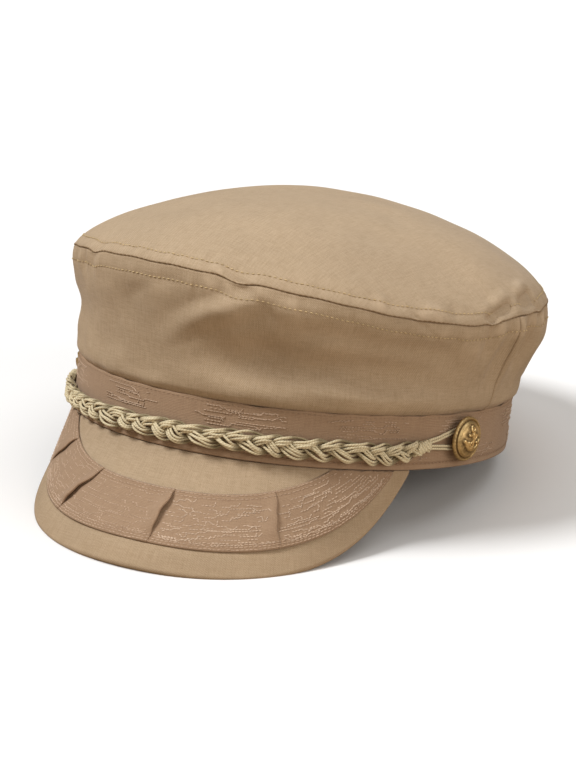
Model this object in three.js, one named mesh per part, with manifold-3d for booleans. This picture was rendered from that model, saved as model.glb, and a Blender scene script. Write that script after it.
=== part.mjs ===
// Breton fisherman cap, in millimetres, +Z up, with its front towards -Y and the wearer's left
// towards +X. It is drawn level on the lower edge of its band, and then tipped back the way it
// rests by itself, on the edge of its peak and on the back of its band.
// Angles run round the band from 0 at the front to 90 degrees at the wearer's left side.
import * as THREE from "three";
import { mergeVertices } from "three/addons/utils/BufferGeometryUtils.js";
import Module from "manifold-3d";

// Band
const bandLength = 200;
const bandWidth = 172;
const bandHeight = 21.7;
const ribbonWall = 1.2;
const headbandWall = 1.5;

// Crown
const crownWall = 1.6;
const frontSeamHeight = 71.5;
const crownOverhang = 10.5;
const crownRise = 31.4;
const crownApexShift = 5;
const sideSeamAngle = 88;

// Peak and the pleated ribbon on it
const peakLength = 52;
const peakHalfAngle = 63;
const peakFrontSlope = 54.3;
const peakEndSlope = 80.4;
const peakEndLength = 2;
const peakWall = 3;
const peakInset = 0.8;
const peakMargin = 11;
const peakRibbonWidth = 24;
const peakRibbonEndWidth = 2;
const peakRibbonWall = 1;
const pleatRise = 1;

// Braid, its cord loops and the buttons
const braidWidth = 8.6;
const braidDepth = 3.9;
const braidPitch = 9;
const braidHeight = 7.2;
const braidEndAngle = 66.5;
const cordWidth = 3.2;
const cordThickness = 1.8;
const cordSpread = 1.9;
const cordTurnRadius = 4;
const buttonAngle = 78.2;
const buttonHeight = 12.2;
const buttonDiameter = 18;
const buttonStandoff = 2.9;
const buttonRim = 1.3;
const buttonDome = 3;
const shankDiameter = 4;
const anchorRelief = 0.5;

// Clearances, and how much of the cloth is pressed flat by what it rests on
const seatGap = 0.3;
const pressedFlat = 1;

// Steps of the faceted surfaces
const stepsAround = 72;
const peakSteps = 44;
const degree = Math.PI / 180;

// The seam between crown top and crown side, round the cap: its height as a share of
// frontSeamHeight, and how far it stands out over the band as a share of crownOverhang.
const crownOutline = [
  { angle: -180, height: 0.84, overhang: 1.08 },
  { angle: -140, height: 0.84, overhang: 1.04 },
  { angle: -110, height: 0.84, overhang: 0.9 },
  { angle: -88, height: 0.85, overhang: 0.8 },
  { angle: -65, height: 0.88, overhang: 0.64 },
  { angle: -40, height: 0.94, overhang: 0.76 },
  { angle: -20, height: 0.985, overhang: 0.95 },
  { angle: 0, height: 1, overhang: 1 },
  { angle: 20, height: 0.965, overhang: 0.96 },
  { angle: 40, height: 0.905, overhang: 0.9 },
  { angle: 55, height: 0.855, overhang: 0.87 },
  { angle: 72, height: 0.825, overhang: 0.88 },
  { angle: 90, height: 0.855, overhang: 0.9 },
  { angle: 112, height: 0.855, overhang: 0.84 },
  { angle: 145, height: 0.85, overhang: 1.06 },
  { angle: 180, height: 0.84, overhang: 1.08 },
];

// The crown side from the band up to the seam: how far it stands out, as a share of the overhang.
const sideProfile = [
  { height: 0, out: 0.02 },
  { height: 0.06, out: 0.2 },
  { height: 0.16, out: 0.29 },
  { height: 0.28, out: 0.34 },
  { height: 0.4, out: 0.42 },
  { height: 0.52, out: 0.52 },
  { height: 0.64, out: 0.68 },
  { height: 0.76, out: 0.86 },
  { height: 0.88, out: 1 },
  { height: 1, out: 1 },
];

// Folds of the crown side: where the middle is and how far it spreads, in degrees round the cap and
// as shares of the height, and how deep it is as a share of the overhang, negative where it dips.
const sideFolds = [
  { angle: 42, spread: 44, height: 0.42, reach: 0.26, depth: -0.34 },
  { angle: 48, spread: 42, height: 0.13, reach: 0.16, depth: 0.14 },
  { angle: 83, spread: 8, height: 0.72, reach: 0.4, depth: 0.16 },
  { angle: -55, spread: 36, height: 0.46, reach: 0.24, depth: -0.2 },
  { angle: -104, spread: 22, height: 0.5, reach: 0.28, depth: -0.22 },
  { angle: 112, spread: 28, height: 0.6, reach: 0.38, depth: 0.34 },
  { angle: 108, spread: 20, height: 0.18, reach: 0.14, depth: -0.1 },
  { angle: 140, spread: 20, height: 0.5, reach: 0.3, depth: -0.24 },
  { angle: -148, spread: 24, height: 0.45, reach: 0.3, depth: -0.24 },
];

// Rings of the crown top from its seam in to the middle, as shares of the way out.
const topRings = [1, 0.985, 0.94, 0.86, 0.73, 0.54, 0.32, 0];
const domePower = 2.2;
const shoulderPower = 1.4;
const seamFade = 1.9;

// The run of the braid over the band, from the wearer's right to the left: its angle as a share of
// braidEndAngle and its height as a share of braidHeight.
const braidRun = [
  { angle: -1, height: 1.12 },
  { angle: -0.88, height: 0.88 },
  { angle: -0.42, height: 0.88 },
  { angle: 0, height: 1 },
  { angle: 0.6, height: 1.04 },
  { angle: 0.87, height: 0.95 },
  { angle: 1, height: 1.42 },
];

// Pleats of the peak ribbon, as shares of peakHalfAngle at its outer and at its inner edge.
const pleats = [
  { outer: -0.68, inner: -0.52, rise: 0.6 },
  { outer: -0.36, inner: -0.25, rise: 1 },
  { outer: 0.05, inner: 0.08, rise: 0.9 },
  { outer: 0.47, inner: 0.44, rise: 1 },
];
const peakShoulder = 2.514;
const peakCorner = 1.081;

// Smooth hump over -1 to 1, 1 in the middle
function hump(x) {
  return Math.abs(x) < 1 ? Math.cos((x * Math.PI) / 2) ** 2 : 0;
}

// An angle round the cap as one from -180 to 180 degrees
function wrapped(angle) {
  return ((((angle + 180) % 360) + 360) % 360) - 180;
}

// The value of a table's column between its rows, along a smooth curve that closes on itself
// where the table runs right round the cap.
function along(table, key, column, at, round) {
  let row = 0;
  while (row < table.length - 2 && at > table[row + 1][key]) row += 1;
  const last = table.length - 1;
  const before = row > 0 ? row - 1 : round ? last - 1 : 0;
  const after = row + 2 <= last ? row + 2 : round ? 1 : last;
  const step = table[row + 1][key] - table[row][key];
  const x = Math.min(Math.max((at - table[row][key]) / step, 0), 1);
  const from = table[row][column];
  const to = table[row + 1][column];
  const leave = (to - table[before][column]) / 2;
  const arrive = (table[after][column] - from) / 2;
  const rest = 2 * from - 2 * to + leave + arrive;
  return from + x * (leave + x * (3 * (to - from) - 2 * leave - arrive + x * rest));
}

// Outward direction of the band's oval at an angle
function outward(angle) {
  const a = angle * degree;
  return new THREE.Vector3(Math.sin(a) / bandWidth, -Math.cos(a) / bandLength, 0).normalize();
}

// A point beside the band's oval: offset out from it, at a height
function bandPoint(angle, offset, height) {
  const a = angle * degree;
  const point = new THREE.Vector3(
    (bandWidth / 2) * Math.sin(a),
    (-bandLength / 2) * Math.cos(a),
    height,
  );
  return point.addScaledVector(outward(angle), offset);
}

// Distance round the oval from one angle to another
function arcLength(from, to) {
  const steps = 60;
  let length = 0;
  for (let i = 0; i < steps; i += 1) {
    const start = from + ((to - from) * i) / steps;
    const end = from + ((to - from) * (i + 1)) / steps;
    length += bandPoint(start, 0, 0).distanceTo(bandPoint(end, 0, 0));
  }
  return length;
}

function seamHeight(angle) {
  return frontSeamHeight * along(crownOutline, "angle", "height", wrapped(angle), true);
}

function seamOverhang(angle) {
  return crownOverhang * along(crownOutline, "angle", "overhang", wrapped(angle), true);
}

// How far the peak reaches out from the band, and how steeply it hangs, at a share of its half angle
function peakReach(share) {
  const curve = Math.max(1 - Math.abs(share) ** peakShoulder, 0) ** (1 / peakCorner);
  return peakEndLength + (peakLength - peakEndLength) * curve;
}

function peakSlope(share) {
  return (peakFrontSlope + (peakEndSlope - peakFrontSlope) * share * share) * degree;
}

// A point on the peak: out along its slope from just inside the band's lower edge, and lifted off
// its outer face
function peakPoint(share, reach, lift) {
  const angle = share * peakHalfAngle;
  const slope = peakSlope(share);
  const offset = reach * Math.cos(slope) + lift * Math.sin(slope) - peakInset;
  const height = -reach * Math.sin(slope) + lift * Math.cos(slope);
  return bandPoint(angle, offset, height);
}

// Where a layer of the peak starts, level and just under the band
function peakStart(share, lift) {
  const slope = peakSlope(share);
  return (seatGap + lift * Math.cos(slope)) / Math.sin(slope);
}

// The tilt at which the peak's edge and the back of the band touch one level surface
function restTilt() {
  let tilt = 0;
  for (let share = 0; share <= 1; share += 1 / peakSteps) {
    const edge = peakPoint(share, peakReach(share), -peakWall / 2);
    tilt = Math.max(tilt, Math.atan2(-edge.z, bandLength / 2 - edge.y));
  }
  return tilt;
}
const tilt = restTilt();

// Height of a point of the level cap over the surface that the tipped cap rests on
function floorClearance(point) {
  return (bandLength / 2 - point.y) * Math.sin(tilt) + point.z * Math.cos(tilt) - pressedFlat;
}

// What would reach below that surface is pressed flat on it
function settle(point) {
  const clearance = floorClearance(point);
  if (clearance < 0) point.z -= clearance / Math.cos(tilt);
  return point;
}

// A closed body from a row of sections. Each section has an outer and an inner list of points, as
// many in one as in the other, and the body is closed round the cap or capped at both ends.
function bodyOf(sections, round) {
  const positions = [];
  const triangle = (a, b, c) => {
    if (a.equals(b) || b.equals(c) || c.equals(a)) return;
    positions.push(...a.toArray(), ...b.toArray(), ...c.toArray());
  };
  const quad = (a, b, c, d) => {
    triangle(a, b, c);
    triangle(a, c, d);
  };
  const rings = sections.map(({ outer, inner }) => [...outer, ...inner.toReversed()].map(settle));
  const count = rings.length;
  for (let i = 0; i < (round ? count : count - 1); i += 1) {
    const ring = rings[i];
    const next = rings[(i + 1) % count];
    for (let j = 0; j < ring.length; j += 1) {
      const k = (j + 1) % ring.length;
      quad(ring[j], next[j], next[k], ring[k]);
    }
  }
  if (!round) {
    const cap = (ring, turn) => {
      for (let j = 0; j + 1 < ring.length / 2; j += 1) {
        const k = ring.length - 1 - j;
        const corners = [ring[j], ring[j + 1], ring[k - 1], ring[k]];
        quad(...(turn ? corners.toReversed() : corners));
      }
    };
    cap(rings[0], false);
    cap(rings[count - 1], true);
  }
  return facingOut(positions);
}

// Triangles as a geometry whose faces point out
function facingOut(positions) {
  let volume = 0;
  const corner = (i) => new THREE.Vector3().fromArray(positions, i);
  for (let i = 0; i < positions.length; i += 9) {
    volume += corner(i).dot(corner(i + 3).cross(corner(i + 6)));
  }
  if (volume < 0) {
    for (let i = 0; i < positions.length; i += 9) {
      const second = positions.slice(i + 3, i + 6);
      positions.splice(i + 3, 6, ...positions.slice(i + 6, i + 9), ...second);
    }
  }
  const geometry = new THREE.BufferGeometry();
  geometry.setAttribute("position", new THREE.Float32BufferAttribute(positions, 3));
  geometry.computeVertexNormals();
  return geometry;
}

// Evenly spaced values from one end to the other
function spaced(from, to, steps) {
  return Array.from({ length: steps + 1 }, (_, i) => from + ((to - from) * i) / steps);
}

// A plain wall round the band, between two offsets from its oval
function bandWall(outerOffset, wall) {
  const angles = spaced(-180, 180, stepsAround).slice(0, -1);
  return bodyOf(
    angles.map((angle) => ({
      outer: [bandPoint(angle, outerOffset, 0), bandPoint(angle, outerOffset, bandHeight)],
      inner: [
        bandPoint(angle, outerOffset - wall, 0),
        bandPoint(angle, outerOffset - wall, bandHeight),
      ],
    })),
    true,
  );
}

// Crown side: flares from the band out to the seam, with its folds
function sideOffset(angle, share) {
  let out = along(sideProfile, "height", "out", share, false);
  for (const fold of sideFolds) {
    const turn = wrapped(angle - fold.angle) / fold.spread;
    out += fold.depth * hump(turn) * hump((share - fold.height) / fold.reach);
  }
  return seamOverhang(angle) * out;
}

function crownSide(from, to) {
  const bottom = bandHeight + seatGap;
  const angles = spaced(from, to, stepsAround / 2);
  return bodyOf(
    angles.map((angle) => {
      const top = seamHeight(angle) - seatGap / 2;
      const rows = sideProfile.map(({ height }) => ({
        offset: sideOffset(angle, height),
        z: bottom + (top - bottom) * height,
      }));
      return {
        outer: rows.map(({ offset, z }) => bandPoint(angle, offset, z)),
        inner: rows.map(({ offset, z }) => bandPoint(angle, offset - crownWall, z)),
      };
    }),
    false,
  );
}

// Crown top: a low dome whose shoulder turns down to the seam
function domePoint(angle, share, wall) {
  const heights = crownOutline.slice(1).map(({ height }) => height);
  const middle = frontSeamHeight * (heights.reduce((sum, x) => sum + x) / heights.length);
  const seam = seamHeight(angle) + seatGap / 2;
  const rise = (crownRise - wall) * (1 - share ** domePower) ** (1 / shoulderPower);
  const height = middle + (seam - middle) * share ** seamFade + rise;
  const edge = bandPoint(angle, seamOverhang(angle) - wall, 0);
  return new THREE.Vector3(
    edge.x * share,
    edge.y * share + crownApexShift * (1 - share * share),
    height,
  );
}

function crownTop() {
  const angles = spaced(-180, 180, stepsAround).slice(0, -1);
  return bodyOf(
    angles.map((angle) => ({
      outer: topRings.map((share) => domePoint(angle, share, 0)),
      inner: topRings.map((share) => domePoint(angle, share, crownWall)),
    })),
    true,
  );
}

// Peak: a stiff board covered in cloth, with a rounded edge
function peak() {
  const round = peakWall / 3;
  return bodyOf(
    spaced(-1, 1, peakSteps).map((u) => {
      const share = Math.sin((u * Math.PI) / 2);
      const reach = peakReach(share);
      const outerStart = peakStart(share, 0);
      const innerStart = peakStart(share, -peakWall);
      const outer = spaced(outerStart, reach - round, 3).map((x) => peakPoint(share, x, 0));
      const inner = spaced(innerStart, reach - round, 3).map((x) => peakPoint(share, x, -peakWall));
      outer.push(peakPoint(share, reach, -round));
      inner.push(peakPoint(share, reach, round - peakWall));
      return { outer, inner };
    }),
    false,
  );
}

// Peak ribbon: lies along the peak inside its margin, and is pleated where the peak curves
function peakRibbonEnd() {
  const reach = peakMargin + peakRibbonEndWidth;
  const curve = (reach - peakEndLength) / (peakLength - peakEndLength);
  return (1 - curve ** peakCorner) ** (1 / peakShoulder);
}

// Lines across the ribbon from its outer to its inner edge. A pleat rises slowly to its ridge and
// then drops back in a narrow step.
function ribbonLines() {
  const end = peakRibbonEnd();
  const climb = 0.07;
  const drop = 0.012;
  const lines = [{ outer: -end, inner: -end, lift: 0 }];
  for (const pleat of pleats) {
    for (const [shift, lift] of [[-climb, 0], [-climb / 2, 0.3], [0, 1], [drop, 0]]) {
      lines.push({
        outer: pleat.outer + shift,
        inner: pleat.inner + shift,
        lift: pleatRise * pleat.rise * lift,
      });
    }
  }
  lines.push({ outer: end, inner: end, lift: 0 });
  const longest = 0.07;
  return lines.flatMap((line, i) => {
    const next = lines[i + 1];
    if (!next) return [line];
    const steps = Math.max(Math.ceil((next.outer - line.outer) / longest), 1);
    return spaced(0, 1, steps).slice(0, -1).map((x) => ({
      outer: line.outer + (next.outer - line.outer) * x,
      inner: line.inner + (next.inner - line.inner) * x,
      lift: line.lift + (next.lift - line.lift) * x,
    }));
  });
}

function peakRibbon() {
  return bodyOf(
    ribbonLines().map(({ outer, inner, lift }) => {
      const face = (height) =>
        spaced(0, 1, 3).map((across) => {
          const share = outer + (inner - outer) * across;
          const distance = peakReach(share) - peakMargin - peakRibbonWidth * across;
          return peakPoint(share, Math.max(distance, peakStart(share, height)), height);
        });
      return { outer: face(seatGap + peakRibbonWall + lift), inner: face(seatGap + lift) };
    }),
    false,
  );
}

// Braid: a plaited bundle whose upper and lower strands bulge in turn
function braidCentre(angle) {
  return braidHeight * along(braidRun, "angle", "height", angle / braidEndAngle, false);
}

function braid() {
  const length = arcLength(-braidEndAngle, braidEndAngle);
  const lobes = Math.round(length / braidPitch);
  const stepsPerLobe = 4;
  const angles = spaced(-braidEndAngle, braidEndAngle, lobes * stepsPerLobe);
  return bodyOf(
    angles.map((angle, i) => {
      const phase = (2 * Math.PI * i) / stepsPerLobe;
      const upper = 1 + 0.12 * Math.cos(phase);
      const lower = 1 - 0.12 * Math.cos(phase);
      const depth = braidDepth * (1 + 0.06 * Math.sin(2 * phase));
      const height = braidCentre(angle);
      const corner = (out, up) =>
        bandPoint(angle, seatGap + depth * out, height + (braidWidth / 2) * up);
      return {
        outer: [corner(0.5, -lower), corner(0.9, -0.6 * lower), corner(0.9, 0.6 * upper), corner(0.5, upper)],
        inner: [corner(0.3, -0.9 * lower), corner(0, -0.6), corner(0, 0.6), corner(0.3, 0.9 * upper)],
      };
    }),
    false,
  );
}

// Cord loop: two cords side by side that leave the braid's end, turn round the button's shank
// behind the button and come back
function cordLoop(side) {
  const away = arcLength(braidEndAngle, buttonAngle);
  const perDegree = away / (buttonAngle - braidEndAngle);
  const start = away - seatGap - cordSpread;
  const limb = (way) =>
    spaced(0, 1, 3).map((x) => ({
      back: start * (1 - x),
      up: way * (cordSpread + (cordTurnRadius - cordSpread) * Math.sin((x * Math.PI) / 2)),
      leave: 1 - x,
    }));
  const turn = spaced(-90, 90, 8).slice(1, -1).map((a) => ({
    back: -cordTurnRadius * Math.cos(a * degree),
    up: cordTurnRadius * Math.sin(a * degree),
    leave: 0,
  }));
  const path = [...limb(-1), ...turn, ...limb(1).toReversed()];
  return bodyOf(
    path.map((here, i) => {
      const before = path[Math.max(i - 1, 0)];
      const after = path[Math.min(i + 1, path.length - 1)];
      const heading = new THREE.Vector2(after.back - before.back, after.up - before.up).normalize();
      const drop = (buttonHeight - braidCentre(side * braidEndAngle)) * here.leave;
      const corner = (across, out) => {
        const back = here.back - heading.y * across * cordWidth * 0.5;
        const up = here.up + heading.x * across * cordWidth * 0.5;
        const angle = side * (buttonAngle - back / perDegree);
        return bandPoint(angle, seatGap + cordThickness * out, buttonHeight - drop + up);
      };
      return {
        outer: [corner(-1, 0.5), corner(-0.5, 1), corner(0.5, 1), corner(1, 0.5)],
        inner: [corner(-0.9, 0.2), corner(-0.5, 0), corner(0.5, 0), corner(0.9, 0.2)],
      };
    }),
    false,
  );
}

// Button: a domed disc with a raised rim and a raised anchor, on a shank
const wasm = await Module();
wasm.setup();

function solidOf(geometry) {
  const bare = geometry.clone();
  bare.deleteAttribute("normal");
  bare.deleteAttribute("uv");
  const merged = mergeVertices(bare, 1e-4);
  return new wasm.Manifold(
    new wasm.Mesh({
      numProp: 3,
      vertProperties: merged.getAttribute("position").array,
      triVerts: new Uint32Array(merged.index.array),
    }),
  );
}

function geometryOf(solid) {
  const mesh = solid.getMesh();
  const geometry = new THREE.BufferGeometry();
  geometry.setAttribute("position", new THREE.BufferAttribute(mesh.vertProperties, 3));
  geometry.setIndex(new THREE.BufferAttribute(mesh.triVerts, 1));
  return geometry;
}

// A body turned about the button's axis, from pairs of radius and height over the band
function turned(profile, segments) {
  const points = profile.map(([radius, height]) => new THREE.Vector2(radius, height));
  return new THREE.LatheGeometry(points, segments).rotateX(90 * degree);
}

function domeProfile(lift) {
  const radius = buttonDiameter / 2 - buttonRim;
  const base = buttonStandoff + buttonRim * 0.6;
  return spaced(90, 0, 5).map((a) => [
    radius * Math.sin(a * degree),
    base + lift + buttonDome * Math.cos(a * degree),
  ]);
}

// The anchor's pieces on the button's face, as shares of its radius
function anchorShapes() {
  const bar = (left, right, bottom, top) =>
    new THREE.Shape([
      new THREE.Vector2(left, bottom),
      new THREE.Vector2(right, bottom),
      new THREE.Vector2(right, top),
      new THREE.Vector2(left, top),
    ]);
  const arms = new THREE.Shape();
  arms.absarc(0, 0, 0.52, 200 * degree, 340 * degree, false);
  arms.absarc(0, 0, 0.38, 340 * degree, 200 * degree, true);
  const ring = new THREE.Shape();
  ring.absarc(0, 0.5, 0.15, 0, 360 * degree, false);
  const flukes = [-1, 1].map(
    (side) =>
      new THREE.Shape([
        new THREE.Vector2(side * 0.3, -0.2),
        new THREE.Vector2(side * 0.62, -0.24),
        new THREE.Vector2(side * 0.5, 0.06),
      ]),
  );
  return [bar(-0.07, 0.07, -0.48, 0.4), bar(-0.3, 0.3, 0.18, 0.3), arms, ring, ...flukes];
}

function button() {
  const radius = buttonDiameter / 2;
  const shank = shankDiameter / 2;
  const back = buttonStandoff;
  const disc = solidOf(
    turned(
      [
        [0, seatGap],
        [shank, seatGap],
        [shank, back],
        [radius - buttonRim * 0.4, back],
        [radius, back + buttonRim * 0.4],
        [radius, back + buttonRim * 0.8],
        [radius - buttonRim * 0.4, back + buttonRim * 1.1],
        [radius - buttonRim * 0.8, back + buttonRim * 0.9],
        ...domeProfile(0),
      ],
      20,
    ),
  );
  const cover = solidOf(turned([[0, back], [radius - buttonRim, back], ...domeProfile(anchorRelief)], 20));
  const inner = radius - buttonRim;
  let anchor = null;
  for (const shape of anchorShapes()) {
    const bar = new THREE.ExtrudeGeometry(shape, {
      depth: buttonDome + buttonRim + anchorRelief,
      bevelEnabled: false,
      curveSegments: 6,
    });
    const piece = solidOf(bar.scale(inner, inner, 1).translate(0, 0, back + buttonRim * 0.3));
    anchor = anchor ? anchor.add(piece) : piece;
  }
  return geometryOf(disc.add(anchor.intersect(cover)));
}

// Materials
const twill = { color: 0xac9270, roughness: 0.92, metalness: 0 };
const jacquard = { color: 0xa68568, roughness: 0.7, metalness: 0 };
const cotton = { color: 0x8f7650, roughness: 0.95, metalness: 0 };
const braidCord = { color: 0xcdc49c, roughness: 0.75, metalness: 0 };
const brass = { color: 0x9a7a3c, roughness: 0.35, metalness: 1 };

function piece(name, geometry, finish) {
  const mesh = new THREE.Mesh(geometry, new THREE.MeshStandardMaterial(finish));
  mesh.name = name;
  return mesh;
}

// The cap, level
const cap = new THREE.Group();
cap.add(
  piece("crown_top", crownTop(), twill),
  piece("crown_side_front", crownSide(-sideSeamAngle, sideSeamAngle), twill),
  piece("headband", bandWall(-ribbonWall - seatGap, headbandWall), cotton),
  piece("band_ribbon", bandWall(0, ribbonWall), jacquard),
  piece("peak", peak(), twill),
  piece("peak_ribbon", peakRibbon(), jacquard),
  piece("braid", braid(), braidCord),
);
const seamClearance = seatGap / ((bandLength / 2) * degree);
cap.add(
  piece(
    "crown_side_back",
    crownSide(sideSeamAngle + seamClearance, 360 - sideSeamAngle - seamClearance),
    twill,
  ),
);
for (const [side, word] of [[1, "left"], [-1, "right"]]) {
  cap.add(piece("cord_loop_" + word, cordLoop(side), braidCord));
  const mesh = piece("button_" + word, button(), brass);
  const axis = outward(side * buttonAngle);
  mesh.position.copy(bandPoint(side * buttonAngle, 0, buttonHeight));
  mesh.up.set(0, 0, 1);
  mesh.lookAt(mesh.position.clone().add(axis));
  cap.add(mesh);
}

// The cap, tipped back on the surface that it rests on, over the middle of its own box
cap.rotation.x = -tilt;
cap.position.z = (bandLength / 2) * Math.sin(tilt) - pressedFlat;
const group = new THREE.Group();
group.add(cap);
group.updateMatrixWorld(true);
const box = new THREE.Box3().setFromObject(group, true);
cap.position.x = -(box.min.x + box.max.x) / 2;
cap.position.y = -(box.min.y + box.max.y) / 2;

export default group;
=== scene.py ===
"""Looks of a breton fisherman cap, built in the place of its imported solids.

Shapes are worked out in millimetres on the level cap, with its front towards -Y and the wearer's
left towards +X. Angles run round the band in degrees from 0 at the front. The level cap is then
tipped back the way that it rests, and becomes metres.
"""

import math

import bmesh
import bpy
import numpy as np
from bpy.props import FloatProperty, FloatVectorProperty, PointerProperty
from mathutils import Matrix, Vector


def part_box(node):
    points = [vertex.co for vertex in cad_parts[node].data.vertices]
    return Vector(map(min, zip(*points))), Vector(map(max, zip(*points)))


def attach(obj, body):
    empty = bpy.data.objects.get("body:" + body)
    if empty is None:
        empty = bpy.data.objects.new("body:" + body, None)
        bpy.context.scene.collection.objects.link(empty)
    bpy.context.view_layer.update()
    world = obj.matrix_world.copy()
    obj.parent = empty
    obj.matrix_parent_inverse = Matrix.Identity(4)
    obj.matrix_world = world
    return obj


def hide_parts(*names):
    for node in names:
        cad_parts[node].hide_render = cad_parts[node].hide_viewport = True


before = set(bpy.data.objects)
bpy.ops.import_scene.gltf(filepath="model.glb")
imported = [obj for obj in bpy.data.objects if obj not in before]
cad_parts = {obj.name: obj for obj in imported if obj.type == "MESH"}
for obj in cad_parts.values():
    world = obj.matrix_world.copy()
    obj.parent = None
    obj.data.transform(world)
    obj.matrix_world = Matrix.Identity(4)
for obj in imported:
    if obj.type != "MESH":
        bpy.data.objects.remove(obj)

bl_info = {
    "name": "Fisherman Cap",
    "version": (1, 0, 0),
    "blender": (4, 5, 0),
    "location": "View3D > Sidebar > Fisherman Cap",
    "description": "Builds a cloth fisherman cap with a plaited cord and a pleated peak ribbon",
    "category": "Object",
}

MM = 0.001

# Band
BAND_LENGTH = 200
BAND_WIDTH = 172
BAND_HEIGHT = 21.7
RIBBON_WALL = 1.2
HEADBAND_WALL = 1.5

# Crown
CROWN_WALL = 1.6
FRONT_SEAM_HEIGHT = 71.5
CROWN_OVERHANG = 10.5
CROWN_RISE = 31.4
CROWN_APEX_SHIFT = 5
SIDE_SEAM_ANGLE = 88
DOME_POWER = 2.2
SHOULDER_POWER = 1.4
SEAM_FADE = 1.9

# Peak and its ribbon
PEAK_LENGTH = 52
PEAK_HALF_ANGLE = 63
PEAK_FRONT_SLOPE = 54.3
PEAK_END_SLOPE = 80.4
PEAK_END_LENGTH = 2
PEAK_WALL = 3
PEAK_INSET = 0.8
PEAK_MARGIN = 11
PEAK_SHOULDER = 2.514
PEAK_CORNER = 1.081
PEAK_STEPS = 44
PEAK_RIBBON_WIDTH = 24
PEAK_RIBBON_END_WIDTH = 2

# Braid, cord loops and buttons
BRAID_HEIGHT = 7.2
BRAID_PITCH = 9
BRAID_END_ANGLE = 66.5
BUTTON_ANGLE = 78.2
BUTTON_HEIGHT = 12.2
BUTTON_DIAMETER = 18
BUTTON_STANDOFF = 2.9
BUTTON_RIM = 1.3
BUTTON_DOME = 3
SHANK_DIAMETER = 4
ANCHOR_RELIEF = 0.5

SEAT_GAP = 0.3
PRESSED_FLAT = 1


def table(names, rows):
    """A table with named columns."""
    return dict(zip(names.split(), np.array(rows, float).T))


# The seam round the crown: its height as a share of FRONT_SEAM_HEIGHT, and how far it stands out
# over the band as a share of CROWN_OVERHANG.
CROWN_OUTLINE = table("angle height overhang", [
    (-180, 0.84, 1.08), (-140, 0.84, 1.04), (-110, 0.84, 0.9), (-88, 0.85, 0.8),
    (-65, 0.88, 0.64), (-40, 0.94, 0.76), (-20, 0.985, 0.95), (0, 1, 1),
    (20, 0.965, 0.96), (40, 0.905, 0.9), (55, 0.855, 0.87), (72, 0.825, 0.88),
    (90, 0.855, 0.9), (112, 0.855, 0.84), (145, 0.85, 1.06), (180, 0.84, 1.08),
])

# The crown side from the band up to the seam: how far out, as a share of the overhang.
SIDE_PROFILE = table("height out", [
    (0, 0.02), (0.06, 0.2), (0.16, 0.29), (0.28, 0.34), (0.4, 0.42),
    (0.52, 0.52), (0.64, 0.68), (0.76, 0.86), (0.88, 1), (1, 1),
])

# Folds of the crown side: the middle and the spread in degrees and in shares of the height, how
# much the fold climbs a degree, and its depth as a share of the overhang, negative in a dip.
SIDE_FOLDS = table("angle spread height reach climb depth", [
    (42, 44, 0.42, 0.26, 0, -0.34),
    (48, 42, 0.13, 0.16, 0, 0.14),
    (83, 8, 0.72, 0.4, 0, 0.16),
    (-55, 36, 0.46, 0.24, 0, -0.2),
    (-104, 22, 0.5, 0.28, 0, -0.22),
    (112, 28, 0.6, 0.38, 0, 0.34),
    (108, 20, 0.18, 0.14, 0, -0.1),
    (140, 20, 0.5, 0.3, 0, -0.24),
    (-148, 24, 0.45, 0.3, 0, -0.24),
])

# Small folds that only the cloth shows, in the same columns
CLOTH_FOLDS = table("angle spread height reach climb depth", [
    (9, 17, 0.7, 0.17, 0.018, 0.34),
    (26, 18, 0.56, 0.22, 0.012, -0.18),
    (22, 26, 0.34, 0.28, 0.002, -0.42),
    (27, 15, 0.86, 0.14, 0, 0.08),
    (48, 32, 0.7, 0.17, 0, -0.2),
    (44, 26, 0.2, 0.14, 0, 0.12),
    (66, 14, 0.62, 0.2, -0.006, -0.1),
    (-4, 7, 0.88, 0.1, 0.004, -0.06),
    (-12, 6, 0.74, 0.1, 0.01, -0.05),
    (-20, 10, 0.5, 0.2, 0.012, -0.05),
    (58, 5, 0.7, 0.34, 0.02, 0.05),
    (67, 4, 0.7, 0.3, 0.012, -0.07),
    (73, 5, 0.6, 0.34, 0, 0.04),
    (79, 4.5, 0.8, 0.3, 0, -0.24),
    (84.5, 3.5, 0.6, 0.5, 0.01, -0.2),
    (90, 3.6, 0.66, 0.55, 0.01, 0.38),
    (97, 4.5, 0.68, 0.45, -0.01, -0.36),
    (104.5, 4, 0.62, 0.4, -0.01, 0.16),
    (118, 9, 0.42, 0.3, 0.012, -0.08),
    (158, 10, 0.6, 0.3, -0.012, 0.06),
    (176, 12, 0.5, 0.3, 0, -0.06),
    (-36, 9, 0.66, 0.26, -0.014, 0.05),
    (-70, 8, 0.6, 0.3, 0.012, 0.06),
    (-84, 5, 0.7, 0.32, 0, -0.08),
    (-93, 5, 0.66, 0.34, 0.006, 0.08),
    (-124, 9, 0.6, 0.28, -0.012, 0.07),
])

# Pinches where the crown seam was sewn a little short: the angle, half width in degrees, drop of
# the seam and dent of the top panel in millimetres, and how the crease slants in degrees a
# millimetre.
PINCHES = table("angle width drop dent slant", [
    (14, 3.4, 1.2, 1, -0.75),
    (-29, 3, 0.8, 0.7, 0.5),
    (56, 2, 0.4, 0.5, -0.8),
    (78.5, 2.2, 1, 1.1, 0.1),
    (102.5, 3, 0.7, 1.4, -0.1),
    (136, 4, 0.6, 0.8, 0.4),
    (-66, 3, 0.5, 0.7, -0.4),
    (-98, 4, 0.6, 1, 0.2),
    (-152, 4, 0.6, 0.8, -0.5),
])

# Tucks of the top panel beside the wearer's left end of the seam: the angle, half width in
# degrees, reach above the seam in millimetres, how the reach grows a degree, and the depth.
TUCKS = table("angle width reach growth depth", [
    (82, 7.5, 4.8, 0.32, 2.5), (97.5, 7.5, 8, 0.25, 2.8), (-101, 8, 5, 0.2, 1),
])

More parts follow.
